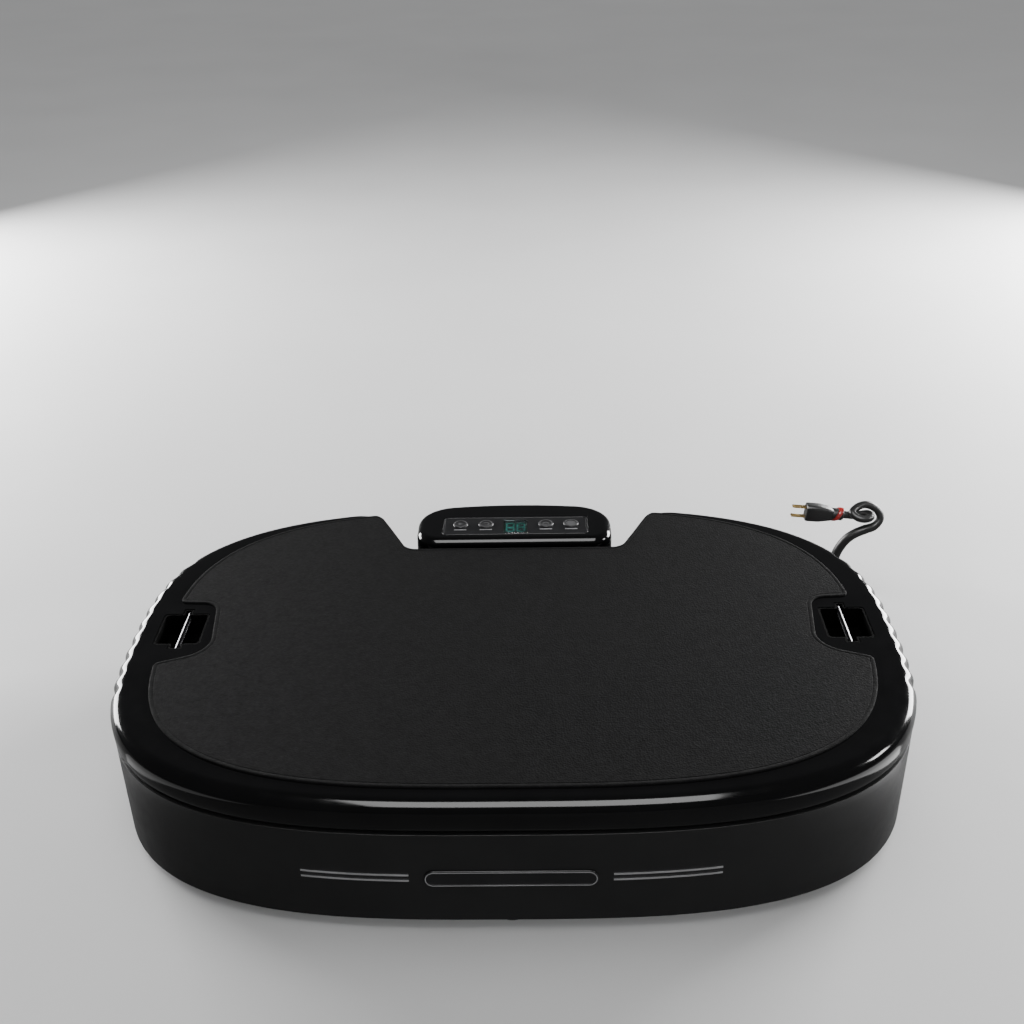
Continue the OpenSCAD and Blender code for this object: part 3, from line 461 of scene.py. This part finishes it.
def soft_links():
    """Isolators and motor leads: a copy of each, fixed in place and attached to no body, stands in for the CAD
    node.
    """
    for node in ("rubber_isolators", "motor_leads"):
        mesh = NODES[node].data.copy()
        mesh.transform(NODES[node].matrix_world)
        link = bpy.data.objects.new(node + "_soft", mesh)
        bpy.context.scene.collection.objects.link(link)
        finish_piece(link, MATERIALS[SLOTS[node]], None, 40)
        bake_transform(link)
        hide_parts(node)


# ---- platform -----------------------------------------------------------------------------

FINE = plan_outline(210)


def scallop(x, y):
    """Depth of the finger scallops in the rim at a point of the outline."""
    if abs(x) < HALF_W * CORNER or not GRIP_FRONT < y < GRIP_REAR:
        return 0
    return SCALLOP_DEPTH * (0.5 - 0.5 * math.cos(math.tau * (y - GRIP_FRONT) / SCALLOP_PITCH))


def rim_ring(d, z, share=0.0):
    """The outline moved inward by d at height z, with scallops cut to a share of their depth."""
    return [(x + (share * scallop(*at) if at[0] < 0 else -share * scallop(*at)), y, z)
            for (x, y), at in zip(inset(FINE, d), FINE)]


def pocket_plan(grow):
    """Plan of the right strap pocket with its tab, grown all round."""
    lo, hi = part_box("strap_pocket_right")
    centre_x = (lo.x + hi.x) / 2
    w, l, corner = 47 * MM, 57 * MM, 4 * MM
    rear_w, rear_l, front_w, front_l = 10 * MM, 9 * MM, 14 * MM, 8 * MM
    centre_y = (lo.y + hi.y - (rear_l - front_l)) / 2
    mouth = rounded_rect(w + 2 * grow, l + 2 * grow, corner, 6, (centre_x, centre_y))

    def seat(half, near, far):
        return [(centre_x + half, near), (centre_x + half, far),
                (centre_x - half, far), (centre_x - half, near)]

    rear = seat(rear_w / 2 + grow, centre_y + l / 2 + grow, centre_y + l / 2 + grow + rear_l)
    front = seat(-front_w / 2 - grow, centre_y - l / 2 - grow, centre_y - l / 2 - grow - front_l)
    return mouth[:7] + rear + mouth[7:21] + front + mouth[21:]


def deck_cover():
    """Gloss shell: tucked lip, rounded rim with scallops, flat top with two pocket openings."""
    widest = DECK_TOP - RIM_DROP
    drop = widest - SEAM
    under = DECK_TOP - COVER_T
    rings = [rim_ring(WALL_IN, under), rim_ring(WALL_IN, SEAM + 1.2 * MM),
             rim_ring(WALL_IN - 0.6 * MM, SEAM + 0.3 * MM), rim_ring(WALL_IN - 1.6 * MM, SEAM),
             rim_ring(LIP_IN + 1.2 * MM, SEAM)]
    for i in range(12, 0, -1):
        a = LIP_SWEEP * i / 12
        rings.append(rim_ring(LIP_IN * (1 - math.cos(a)) / (1 - math.cos(LIP_SWEEP)),
                              widest - drop * math.sin(a) / math.sin(LIP_SWEEP)
                              + (0.4 * MM if i == 12 else 0), math.cos(a)))
    for i in range(17):
        a = math.pi / 2 * i / 16
        rings.append(rim_ring(RIM_REACH * (1 - math.cos(a)), widest + RIM_DROP * math.sin(a),
                              math.cos(a)))
    rings.append(rim_ring(RIM_REACH + 1 * MM, DECK_TOP))
    cover = loft("deck_cover_shell", rings, MATERIALS["gloss_black"])
    right = pocket_plan(0.2 * MM)
    cut(cover, prism(right, under - 5 * MM, DECK_TOP + 5 * MM),
        prism(flipped(right), under - 5 * MM, DECK_TOP + 5 * MM))
    finish_piece(cover, MATERIALS["gloss_black"], "deck", 40)
    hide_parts("deck_cover")


def cad_loop(node, z):
    """The outer loop of a CAD slab's corners at height z, anticlockwise from above."""
    mesh = NODES[node].data
    sides = {}
    for poly in mesh.polygons:
        ids = list(poly.vertices)
        if all(abs(mesh.vertices[i].co.z - z) < 1e-6 for i in ids):
            for a, b in zip(ids, ids[1:] + ids[:1]):
                pa = tuple(round(c, 6) for c in mesh.vertices[a].co)
                pb = tuple(round(c, 6) for c in mesh.vertices[b].co)
                sides[(pa, pb)] = True
    edges = {a: b for a, b in sides if (b, a) not in sides}
    start = next(iter(edges))
    loop, at = [start], edges[start]
    while at != start:
        loop.append(at)
        at = edges[at]
    return [(x, y) for x, y, _ in loop]


def even(points, gap):
    """A closed loop's points, spaced evenly, about gap apart."""
    walk = points + points[:1]
    lengths = [math.dist(a, b) for a, b in zip(walk, walk[1:])]
    count = round(sum(lengths) / gap)
    step = sum(lengths) / count
    out, side, passed = [], 0, 0.0
    for k in range(count):
        while passed + lengths[side] < k * step:
            passed += lengths[side]
            side += 1
        t = (k * step - passed) / lengths[side]
        (ax, ay), (bx, by) = walk[side], walk[side + 1]
        out.append((ax + (bx - ax) * t, ay + (by - ay) * t))
    return out


def deck_mat():
    """Mat with a rounded edge and a shallow groove that runs parallel to it."""
    loop = even(cad_loop("deck_mat", MAT_HI.z), 3 * MM)
    z0, z1 = MAT_LO.z, MAT_HI.z
    rings = [at_z(loop, z0)]
    for i in range(5):
        a = math.pi / 2 * i / 4
        rings.append(at_z(inset(loop, 1.2 * MM * (1 - math.cos(a))),
                          z1 - 0.8 * MM + 0.8 * MM * math.sin(a)))
    rings += [at_z(inset(loop, 3.6 * MM), z1), at_z(inset(loop, 4.1 * MM), z1 - 0.25 * MM),
              at_z(inset(loop, 4.6 * MM), z1 - 0.25 * MM), at_z(inset(loop, 5.1 * MM), z1)]
    mat = loft("standing_mat", rings, MATERIALS["mat_rubber"], "deck", sharp=50)
    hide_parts("deck_mat")


# ---- base ---------------------------------------------------------------------------------

PLAIN = plan_outline(90)


def base_skirt():
    """Leaning wall with a rounded foot, open for the column's tongue and the power inlet."""
    top, low = SKIRT_HI.z, SKIRT_LO.z
    wall = SKIRT_FOOT_IN + SKIRT_T
    rings = []
    for i in range(6):
        a = math.pi / 2 * i / 5
        rings.append(at_z(inset(PLAIN, SKIRT_FOOT_IN + SKIRT_FOOT_LEAN * (1 - math.sin(a))),
                          low + SKIRT_FOOT_R * (1 - math.cos(a))))
    for i in range(1, 12):
        t = i / 12
        z = low + SKIRT_FOOT_R + (top - low - SKIRT_FOOT_R - SKIRT_EDGE) * t
        rings.append(at_z(inset(PLAIN, SKIRT_FOOT_IN + (SKIRT_IN - SKIRT_FOOT_IN) * t), z))
    for i in range(7):
        a = math.pi / 2 * i / 6
        rings.append(at_z(inset(PLAIN, SKIRT_IN + SKIRT_EDGE * (1 - math.cos(a))),
                          top - SKIRT_EDGE + SKIRT_EDGE * math.sin(a)))
    rings += [at_z(inset(PLAIN, wall), top), at_z(inset(PLAIN, wall), low)]
    skirt = loft("base_skirt_shell", rings, MATERIALS["satin_black"], closed=True)
    plate_lo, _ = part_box("base_plate")
    slot = rounded_rect(TONGUE_W, 40 * MM, 1 * MM, 3, (0, NOTCH_Y))
    window = prism(rounded_rect(INLET_W, 40 * MM, 1.5 * MM, 4), -INLET_H / 2, INLET_H / 2)
    window.matrix_world = inlet_frame() @ Matrix.Translation((0, -5 * MM, 0))
    cut(skirt, prism(slot, low - 5 * MM, plate_lo.z + 4 * MM), window)
    finish_piece(skirt, MATERIALS["satin_black"], "base", 40)
    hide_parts("base_skirt")


def inlet_frame():
    """Frame of the power inlet: origin on the outline, X along the wall, Y outward."""
    joint = next(j for j in frame["joints"] if j["name"] == "power_rock")
    axis = Vector(joint["axis"]).normalized()
    out = Vector((0, 0, 1)).cross(axis)
    pivot = Vector(joint["pos_m"])
    origin = pivot - axis * ROCKER_U - out * ROCKER_V
    turn = Matrix((axis, out, Vector((0, 0, 1)))).transposed().to_4x4()
    return Matrix.Translation(origin) @ turn


# ---- console ------------------------------------------------------------------------------

POD_HALF = POD_HI.x
POD_FRONT, POD_REAR = POD_LO.y, POD_HI.y
POD_TOP = POD_HI.z
POD_EDGE = 9 * MM
POD_MID = (POD_FRONT + POD_REAR) / 2
SPLIT_Z = POD_LO.z
PANEL_LO, PANEL_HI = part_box("console_faceplate")
WINDOW_LO, WINDOW_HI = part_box("display_window")
BUTTONS = {"play_button": "play", "stop_button": "again", "time_button": "hump",
           "level_button": "disc"}


def pod_outline(scale=1.0):
    """The console head's outline, anticlockwise from above."""
    side = POD_HALF
    corner = 24 * MM
    turn_y, rear_x, rear_y = POD_FRONT + 45 * MM, side - 42 * MM, POD_REAR - 4 * MM
    right = (bend((side - corner, POD_FRONT), (side, POD_FRONT), (side, POD_FRONT + corner), 14)
             + line((side, POD_FRONT + corner), (side, turn_y), 6)
             + bend((side, turn_y), (side, rear_y - 4 * MM), (rear_x, rear_y), 24)
             + [(x, POD_REAR - 4 * MM * (x / rear_x) ** 2) for x in span(rear_x, 0, 12)[1:]])
    whole = right + [(0, POD_REAR)] + flipped(right) + line((corner - side, POD_FRONT),
                                                            (side - corner, POD_FRONT), 24)
    return [(x * scale, POD_MID + (y - POD_MID) * scale) for x, y in whole]


def button_centres():
    centres = {}
    for name in BUTTONS:
        lo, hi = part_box(name)
        centres[name] = ((lo.x + hi.x) / 2, (lo.y + hi.y) / 2, (hi.x - lo.x) / 2, hi.z)
    return centres


def panel_cutters(play, z0, z1):
    cutters = []
    for x, y, r, _ in button_centres().values():
        ring = [(x + (r + play) * math.cos(a), y + (r + play) * math.sin(a))
                for a in (math.tau * i / 64 for i in range(64))]
        cutters.append(prism(ring, z0, z1))
    w, d = WINDOW_HI.x - WINDOW_LO.x, WINDOW_HI.y - WINDOW_LO.y
    centre = ((WINDOW_LO.x + WINDOW_HI.x) / 2, (WINDOW_LO.y + WINDOW_HI.y) / 2)
    cutters.append(prism(rounded_rect(w + 2 * play, d + 2 * play, 1 * MM, 4, centre), z0, z1))
    return cutters


def console_housing():
    pod = pod_outline()
    inside = at_z(inset(pod, 4 * MM), SPLIT_Z)
    rings = [at_z(inset(pod, 4 * MM), POD_TOP - 4 * MM), inside,
             at_z(inset(pod, 0.6 * MM), SPLIT_Z), at_z(pod, SPLIT_Z + 0.6 * MM)]
    for i in range(13):
        a = math.pi / 2 * i / 12
        rings.append(at_z(inset(pod, POD_EDGE * (1 - math.cos(a))),
                          POD_TOP - POD_EDGE + POD_EDGE * math.sin(a)))
    rings.append(at_z(inset(pod, POD_EDGE + 0.8 * MM), POD_TOP))
    housing = loft("console_head", rings, MATERIALS["gloss_black"])
    w, d = PANEL_HI.x - PANEL_LO.x, PANEL_HI.y - PANEL_LO.y
    centre = ((PANEL_LO.x + PANEL_HI.x) / 2, (PANEL_LO.y + PANEL_HI.y) / 2)
    recess = prism(rounded_rect(w + 0.4 * MM, d + 0.4 * MM, 5 * MM, 8, centre),
                   PANEL_LO.z, POD_TOP + 5 * MM)
    cut(housing, recess, *panel_cutters(0.6 * MM, POD_TOP - 8 * MM, POD_TOP + 5 * MM))
    finish_piece(housing, MATERIALS["gloss_black"], "base", 40)
    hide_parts("console_housing")

    outline = rounded_rect(w, d, 5 * MM, 8, centre)
    top = PANEL_HI.z
    rings = [at_z(outline, PANEL_LO.z), at_z(outline, top - 0.3 * MM),
             at_z(inset(outline, 0.3 * MM), top), at_z(inset(outline, 1.7 * MM), top),
             at_z(inset(outline, 2.1 * MM), top - 0.3 * MM)]
    face = loft("console_face", rings, MATERIALS["panel_film"])
    cut(face, *panel_cutters(0.3 * MM, PANEL_LO.z - 3 * MM, top + 3 * MM))
    finish_piece(face, MATERIALS["panel_film"], "base", 30)
    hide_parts("console_faceplate")


def console_column():
    low, top = COLUMN_LO.z, COLUMN_HI.z
    belly_z, edge = POD_TOP - 36 * MM, 10 * MM
    rings = [at_z(pod_outline(0.86), low), at_z(pod_outline(0.86), low + 3 * MM),
             at_z(pod_outline(0.85), low + 4 * MM), at_z(pod_outline(0.8), low + 7 * MM),
             at_z(pod_outline(0.83), belly_z - 1 * MM)]
    for i in range(11):
        a = math.pi / 2 * (1 - i / 10)
        rings.append(at_z(inset(pod_outline(), edge * (1 - math.cos(a))),
                          belly_z + edge * (1 - math.sin(a))))
    rings += [at_z(pod_outline(), top - 0.7 * MM), at_z(inset(pod_outline(), 0.7 * MM), top)]
    column = loft("console_stand", rings, MATERIALS["satin_black"])
    cut(column, prism(pod_outline(0.76), low - 1 * MM, top + 1 * MM),
        prism(inset(pod_outline(), 6 * MM), top - 2 * MM, top + 2 * MM))
    finish_piece(column, MATERIALS["satin_black"], "base", 40)
    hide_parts("console_column")


def flat_icon(name, outline, body, z, thick=0.18 * MM):
    """A raised printed shape on a button."""
    loft(name, [at_z(outline, z), at_z(outline, z + thick)], ICON, body)


def arc_band(centre, r0, r1, start, end, steps):
    """Flat band between two radii, from start to end degrees."""
    angles = [math.radians(start + (end - start) * i / steps) for i in range(steps + 1)]
    outer = [(centre[0] + r1 * math.cos(a), centre[1] + r1 * math.sin(a)) for a in angles]
    inner = [(centre[0] + r0 * math.cos(a), centre[1] + r0 * math.sin(a)) for a in angles]
    return outer + inner[::-1]


def buttons():
    for name, (x, y, r, top) in button_centres().items():
        lo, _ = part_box(name)
        low = lo.z
        profile = [(0, low), (2.5 * MM, low), (2.5 * MM, low + 2 * MM), (r - 0.5 * MM, low + 2 * MM),
                   (r, low + 2.5 * MM), (r, top - 1.1 * MM)]
        profile += [(r - 0.9 * MM * (1 - math.cos(a)), top - 1.1 * MM + 0.9 * MM * math.sin(a))
                    for a in (math.pi / 2 * i / 5 for i in range(1, 6))]
        profile += [(r - 2.0 * MM, top - 0.2 * MM), (r - 2.6 * MM, top - 0.5 * MM),
                    (r * 0.4, top - 0.62 * MM), (0, top - 0.65 * MM)]
        cap = spin(name + "_cap", profile, 64, MATERIALS["button_grey"], name, 30)
        cap.data.transform(Matrix.Translation((x, y, 0)))
        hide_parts(name)
        face = top - 0.66 * MM
        ring_face = top - 0.24 * MM
        ring = arc_band((x, y), r - 2.0 * MM, r - 1.0 * MM, 0, 359.9, 60)
        flat_icon(name + "_ring", ring, name, ring_face, 0.2 * MM)
        kind = BUTTONS[name]
        if kind == "play":
            flat_icon(name + "_icon", [(x - 2.4 * MM, y - 3.2 * MM), (x + 3.4 * MM, y),
                                       (x - 2.4 * MM, y + 3.2 * MM)], name, face)
        elif kind == "again":
            flat_icon(name + "_icon", arc_band((x, y), 2.6 * MM, 3.8 * MM, -120, 150, 24), name, face)
        elif kind == "hump":
            flat_icon(name + "_icon", arc_band((x, y - 1.6 * MM), 2.6 * MM, 4.0 * MM, 10, 170, 20),
                      name, face)
            flat_icon(name + "_bar", [(x - 4.4 * MM, y - 3.6 * MM), (x + 4.4 * MM, y - 3.6 * MM),
                                      (x + 4.4 * MM, y - 2.5 * MM), (x - 4.4 * MM, y - 2.5 * MM)],
                      name, face)
        else:
            disc = [(x + 5.6 * MM * math.cos(a), y + 5.6 * MM * math.sin(a))
                    for a in (math.tau * i / 48 for i in range(48))]
            flat_icon(name + "_icon", disc, name, face)


def display():
    x = (WINDOW_LO.x + WINDOW_HI.x) / 2
    y = (WINDOW_LO.y + WINDOW_HI.y) / 2
    w, d = WINDOW_HI.x - WINDOW_LO.x, WINDOW_HI.y - WINDOW_LO.y
    glass = loft("display_glass", [
        at_z(rounded_rect(w - 0.1 * MM, d - 0.1 * MM, 1 * MM, 4, (x, y)), WINDOW_LO.z),
        at_z(rounded_rect(w - 0.1 * MM, d - 0.1 * MM, 1 * MM, 4, (x, y)), WINDOW_HI.z - 0.2 * MM),
        at_z(rounded_rect(w - 0.5 * MM, d - 0.5 * MM, 0.8 * MM, 4, (x, y)), WINDOW_HI.z)],
        MATERIALS["display_glass"], "base")
    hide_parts("display_window")
    digits_lo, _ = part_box("display_digits")
    for side in (-1, 1):
        block = rounded_rect(10.6 * MM, 27 * MM, 0.8 * MM, 3, (x + side * 5.9 * MM, y))
        loft("display_backlight", [at_z(block, digits_lo.z - 0.4 * MM),
                                   at_z(block, digits_lo.z - 0.1 * MM)],
             BACKLIGHT, "base")


# ---- mains lead ---------------------------------------------------------------------------

PLUG_AT = Vector((0.405, 0.344, 0.0835))
PLUG_RISE = math.radians(6)
PLUG_OUT = Vector((-math.cos(PLUG_RISE), 0, math.sin(PLUG_RISE)))
NECK_R, NECK_L, PLUG_L = 7.5 * MM, 15 * MM, 32 * MM
SOCKET_U = -14 * MM
CONNECTOR_OUT = 40 * MM
LEAD_R, SLEEVE_R = 4.7 * MM, 5.8 * MM
# Number of way points that the thicker sleeve passes before it tapers
SLEEVE_WAYS = 10
# Way points of the free stretch, in millimetres: down to the floor, up, then round a small loop
LOOP = [(342, 309, 24), (368, 331, 8), (386, 339, 8.5), (397, 339, 22),
        (402, 337, 38), (409, 335, 52), (418, 334, 61), (431, 334, 67.5), (443, 336, 71),
        (450, 339, 79), (448, 342, 88), (439, 344, 95), (429, 344, 97), (419, 339, 95),
        (414, 333, 91.5), (419, 327.5, 88), (428, 325.5, 86.5), (436, 330, 87),
        (434.5, 338, 87.5), (427, 343, 84.2)]


RELIEF_FROM, RELIEF_R, RELIEF_RIBS = 26 * MM, 8.4 * MM, 7
RIB_PITCH, RIB_GROOVE, RELIEF_TAPER = 2 * MM, 0.9 * MM, 1.6 * MM
# Sections of the connector in millimetres: place along the inlet's axis, width, height, corner
CONNECTOR = ((-4.8, 27, 17, 2), (-4.0, 29, 19, 3), (8, 29, 19, 3), (10, 26, 17.6, 5),
             (18, 24, 17, 6), (24, 20, 17, 8), (27, 17, 16.6, 8.2))
# Sections of the plug: share of its length, of its width and of its thickness
PLUG = ((-0.06, 0.6, 0.8), (0.0, 0.68, 0.9), (0.2, 0.8, 0.96), (0.42, 0.95, 0.99),
        (0.55, 1, 1), (0.93, 1, 1), (0.985, 0.97, 0.96), (1, 0.9, 0.86))
PLUG_THICK, PLUG_WIDE, PLUG_CORNER = 16 * MM, 22 * MM, 5 * MM


def mains_lead():
    """The lead with its connector, plug and red band."""
    place = inlet_frame()
    way = [place @ Vector((SOCKET_U, CONNECTOR_OUT - 7 * MM, 0)),
           place @ Vector((SOCKET_U, CONNECTOR_OUT + 1 * MM, 0)),
           place @ Vector((SOCKET_U, CONNECTOR_OUT + 20 * MM, -3 * MM))]
    way += [Vector(p) * MM for p in LOOP]
    way += [PLUG_AT - PLUG_OUT * (14 * MM), PLUG_AT - PLUG_OUT * (7 * MM),
            PLUG_AT + PLUG_OUT * (6 * MM)]
    path = spline(way, 12)
    last = len(way) - 1

    def radius(share):
        taper = min(1, max(0, (share * last - SLEEVE_WAYS) / 2))
        return SLEEVE_R + (LEAD_R - SLEEVE_R) * taper

    lead = tube("mains_lead", path, radius, 24, MATERIALS["cord_black"], "base")
    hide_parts("power_cord")
    lead_relief(place)
    lead_connector(place)
    turn = PLUG_OUT.to_track_quat("Z", "Y").to_matrix().to_4x4()
    plug_place = Matrix.Translation(PLUG_AT) @ turn
    mains_plug(plug_place)
    tie_turn(plug_place)


def lead_relief(place):
    """Ribbed sleeve behind the connector."""
    profile = [(0, RELIEF_FROM), (8.2 * MM, RELIEF_FROM)]
    for rib in range(RELIEF_RIBS):
        crest = RELIEF_R - RELIEF_TAPER * rib / RELIEF_RIBS
        for quarter in range(4):
            groove = RIB_GROOVE if quarter in (1, 2) else 0
            profile.append((crest - groove, RELIEF_FROM + (rib + quarter / 4) * RIB_PITCH))
    profile += [(SLEEVE_R + 1.4 * MM, CONNECTOR_OUT), (SLEEVE_R + 0.2 * MM, CONNECTOR_OUT),
                (0, CONNECTOR_OUT - 2 * MM)]
    relief = spin("lead_relief", profile, 40, MATERIALS["cord_black"], "base", 30)
    relief.data.transform(place @ Matrix.Translation((SOCKET_U, 0, 0))
                          @ Matrix.Rotation(math.radians(-90), 4, "X"))
    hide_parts("cord_connector")


def lead_connector(place):
    shell = []
    for v, w, h, r in CONNECTOR:
        shell.append([place @ Vector((SOCKET_U + x, v * MM, -y))
                      for x, y in rounded_rect(w * MM, h * MM, r * MM, 8)])
    body = loft("lead_connector", shell, MATERIALS["cord_black"], "base", sharp=40)
    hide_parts("cord_connector")


def mains_plug(place):
    """Moulded plug, flared away from its round neck."""
    rings = []
    for share, w, t in PLUG:
        outline = rounded_rect(PLUG_THICK * t, PLUG_WIDE * w, PLUG_CORNER * w, 8)
        rings.append([place @ Vector((x, y, NECK_L + PLUG_L * share)) for x, y in outline])
    plug = loft("mains_plug", rings, MATERIALS["cord_black"], "base", sharp=40)
    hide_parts("power_plug")
    neck = spin("plug_neck", [(0, 0), (LEAD_R + 0.2 * MM, 0), (NECK_R - 1.2 * MM, 0.3 * MM),
                              (NECK_R - 0.3 * MM, 1.2 * MM), (NECK_R, 2.4 * MM),
                              (NECK_R, NECK_L - 0.5 * MM), (NECK_R - 0.5 * MM, NECK_L + 1 * MM),
                              (0, NECK_L + 1 * MM)],
                48, MATERIALS["cord_black"], "base", 30)
    neck.data.transform(place)
    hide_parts("power_plug")


def tie_turn(place):
    """The red band round the plug's neck, cut off on the slant."""
    slant = math.radians(28)
    lean, half, thick = math.tan(slant), 2.5 * MM / math.cos(slant), 1.2 * MM
    sections = []
    for k in range(64):
        a = math.tau * k / 64
        section = []
        for along, rise in ((-1, 0), (-1, 0.6), (-0.85, 1), (0, 1.08), (0.85, 1), (1, 0.6), (1, 0)):
            r = NECK_R + 0.02 * MM + thick * rise
            down = -r * math.cos(a)
            section.append(place @ Vector((r * math.sin(a), down,
                                           NECK_L / 2 - down * lean + half * along)))
        sections.append(section)
    tie = loft("lead_tie", sections, MATERIALS["red_plastic"], "base",
               closed=True, sharp=40)
    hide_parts("cord_tie")


# ---- front trim ---------------------------------------------------------------------------

def front_trim():
    """A blank badge: a dark plate with a thin silver ring on it."""
    lo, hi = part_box("front_badge")
    w, h = hi.x - lo.x, hi.z - lo.z
    centre = (0, (lo.z + hi.z) / 2)
    face, back = lo.y, lo.y + 1.3 * MM

    def pill(out, y):
        return [(x, y, z) for x, z in
                rounded_rect(w - 2 * out, h - 2 * out, h / 2 - out - 0.01 * MM, 16, centre)]

    plate = loft("badge", [pill(0, back), pill(0, face + 0.5 * MM),
                           pill(0.25 * MM, face + 0.15 * MM), pill(0.7 * MM, face),
                           pill(2.2 * MM, face), pill(2.6 * MM, face + 0.35 * MM)],
                 MATERIALS["panel_film"], "base", sharp=40)
    ring = loft("badge_ring", [pill(1.0 * MM, face + 0.1 * MM), pill(1.0 * MM, face - 0.15 * MM),
                               pill(1.8 * MM, face - 0.15 * MM), pill(1.8 * MM, face + 0.1 * MM)],
                MATERIALS["silver_print"], "base", closed=True)
    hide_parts("front_badge")
    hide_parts("front_badge")


# ---- stage --------------------------------------------------------------------------------

def area_light(name, at, target, size, power, size_y=None):
    """A rectangular lamp at a place, turned to a target."""
    data = bpy.data.lights.new(name, "AREA")
    data.shape = "RECTANGLE"
    data.size = size
    data.size_y = size_y or size
    data.energy = power
    light = bpy.data.objects.new(name, data)
    light.location = at
    light.rotation_mode = "QUATERNION"
    light.rotation_quaternion = (Vector(target) - Vector(at)).to_track_quat("-Z", "Y")
    bpy.context.scene.collection.objects.link(light)
    return light


def dim_to_bounces(material, share):
    """Keeps a share of the colour for every ray but the camera's, so little light bounces up."""
    nodes, links = material.node_tree.nodes, material.node_tree.links
    base = nodes["Principled BSDF"].inputs["Base Color"]
    seen = nodes.new("ShaderNodeLightPath")
    level = nodes.new("ShaderNodeMapRange")
    level.inputs["To Min"].default_value = share
    links.new(seen.outputs["Is Camera Ray"], level.inputs["Value"])
    scaled = nodes.new("ShaderNodeVectorMath")
    scaled.operation = "SCALE"
    links.new(base.links[0].from_socket, scaled.inputs[0])
    links.new(level.outputs["Result"], scaled.inputs["Scale"])
    links.new(scaled.outputs["Vector"], base)


def floor():
    material = shade("floor", (0.62, 0.62, 0.62), 0.7, vary=0.02, vary_scale=2)
    dim_to_bounces(material, 0.12)
    mesh = bpy.data.meshes.new("floor")
    reach = 40
    mesh.from_pydata([(-reach, -reach, 0), (reach, -reach, 0), (reach, reach, 0),
                      (-reach, reach, 0)], [], [(0, 1, 2, 3)])
    mesh.materials.append(material)
    plane = bpy.data.objects.new("floor", mesh)
    bpy.context.scene.collection.objects.link(plane)


def surroundings():
    """A pale room: brighter for the camera than for the light it casts."""
    world = bpy.data.worlds.new("studio")
    world.use_nodes = True
    nodes, links = world.node_tree.nodes, world.node_tree.links
    background = nodes["Background"]
    background.inputs["Color"].default_value = (0.95, 0.97, 1, 1)
    seen = nodes.new("ShaderNodeLightPath")
    strength = nodes.new("ShaderNodeMapRange")
    strength.inputs["To Min"].default_value = 0.1
    strength.inputs["To Max"].default_value = 0.6
    links.new(seen.outputs["Is Camera Ray"], strength.inputs["Value"])
    links.new(strength.outputs["Result"], background.inputs["Strength"])
    bpy.context.scene.world = world


def studio_lights():
    """Soft light from overhead, with lamps that only draw the highlights on the rim and skirt."""
    sun_data = bpy.data.lights.new("overhead", "SUN")
    sun_data.energy = 1.3
    sun_data.angle = math.radians(50)
    sun = bpy.data.objects.new("overhead", sun_data)
    sun.rotation_euler = (math.radians(-8), math.radians(-6), 0)
    sun.visible_glossy = False
    bpy.context.scene.collection.objects.link(sun)
    middle = (0, 0, 0.1)
    front_box = area_light("front_box", (0.09, -0.98, 2.05), middle, 1.4, 72, 1.5)
    front_box.visible_diffuse = False
    fill = area_light("front_fill", (0.8, -2.2, 0.9), middle, 1.5, 30)
    fill.visible_glossy = False
    area_light("left_rear", (-1.75, 1.45, 0.5), middle, 1.3, 110, 0.8)
    area_light("right_rear", (1.75, 1.45, 0.5), middle, 1.3, 150, 0.8)
    for name, x, power in (("left_floor", -0.66, 0.5), ("right_floor", 0.66, 1.8)):
        glow = area_light(name, (x, -0.34, 0.004), (x, -0.34, 1), 0.4, power, 0.5)
        glow.visible_diffuse = False
        glow.visible_camera = False
    spot = area_light("right_spot", (2.13, -0.17, 1.0), middle, 0.5, 25, 0.35)
    spot.visible_diffuse = False


def camera():
    """The viewing angle: low over the front edge, nearly square on."""
    aim, distance = Vector((0.002, 0.368, 0.080)), 1.725
    rise, yaw, roll = math.radians(27.7), math.radians(1.13), math.radians(1.2)
    turn = Matrix.Rotation(yaw, 3, "Z")
    right = turn @ Vector((1, 0, 0))
    up = turn @ Vector((0, math.sin(rise), math.cos(rise)))
    back = turn @ Vector((0, -math.cos(rise), math.sin(rise)))
    data = bpy.data.cameras.new("camera")
    data.sensor_width = 36
    data.lens = 48.1
    cam = bpy.data.objects.new("camera", data)
    tipped_right = right * math.cos(roll) - up * math.sin(roll)
    tipped_up = up * math.cos(roll) + right * math.sin(roll)
    at = turn @ aim + back * distance
    basis = Matrix((tipped_right, tipped_up, back)).transposed().to_4x4()
    cam.matrix_world = Matrix.Translation(at) @ basis
    bpy.context.scene.collection.objects.link(cam)
    bpy.context.scene.camera = cam


dress_cad_nodes()
soft_links()
deck_cover()
deck_mat()
base_skirt()
console_housing()
console_column()
buttons()
display()
mains_lead()
front_trim()
floor()
surroundings()
studio_lights()
camera()
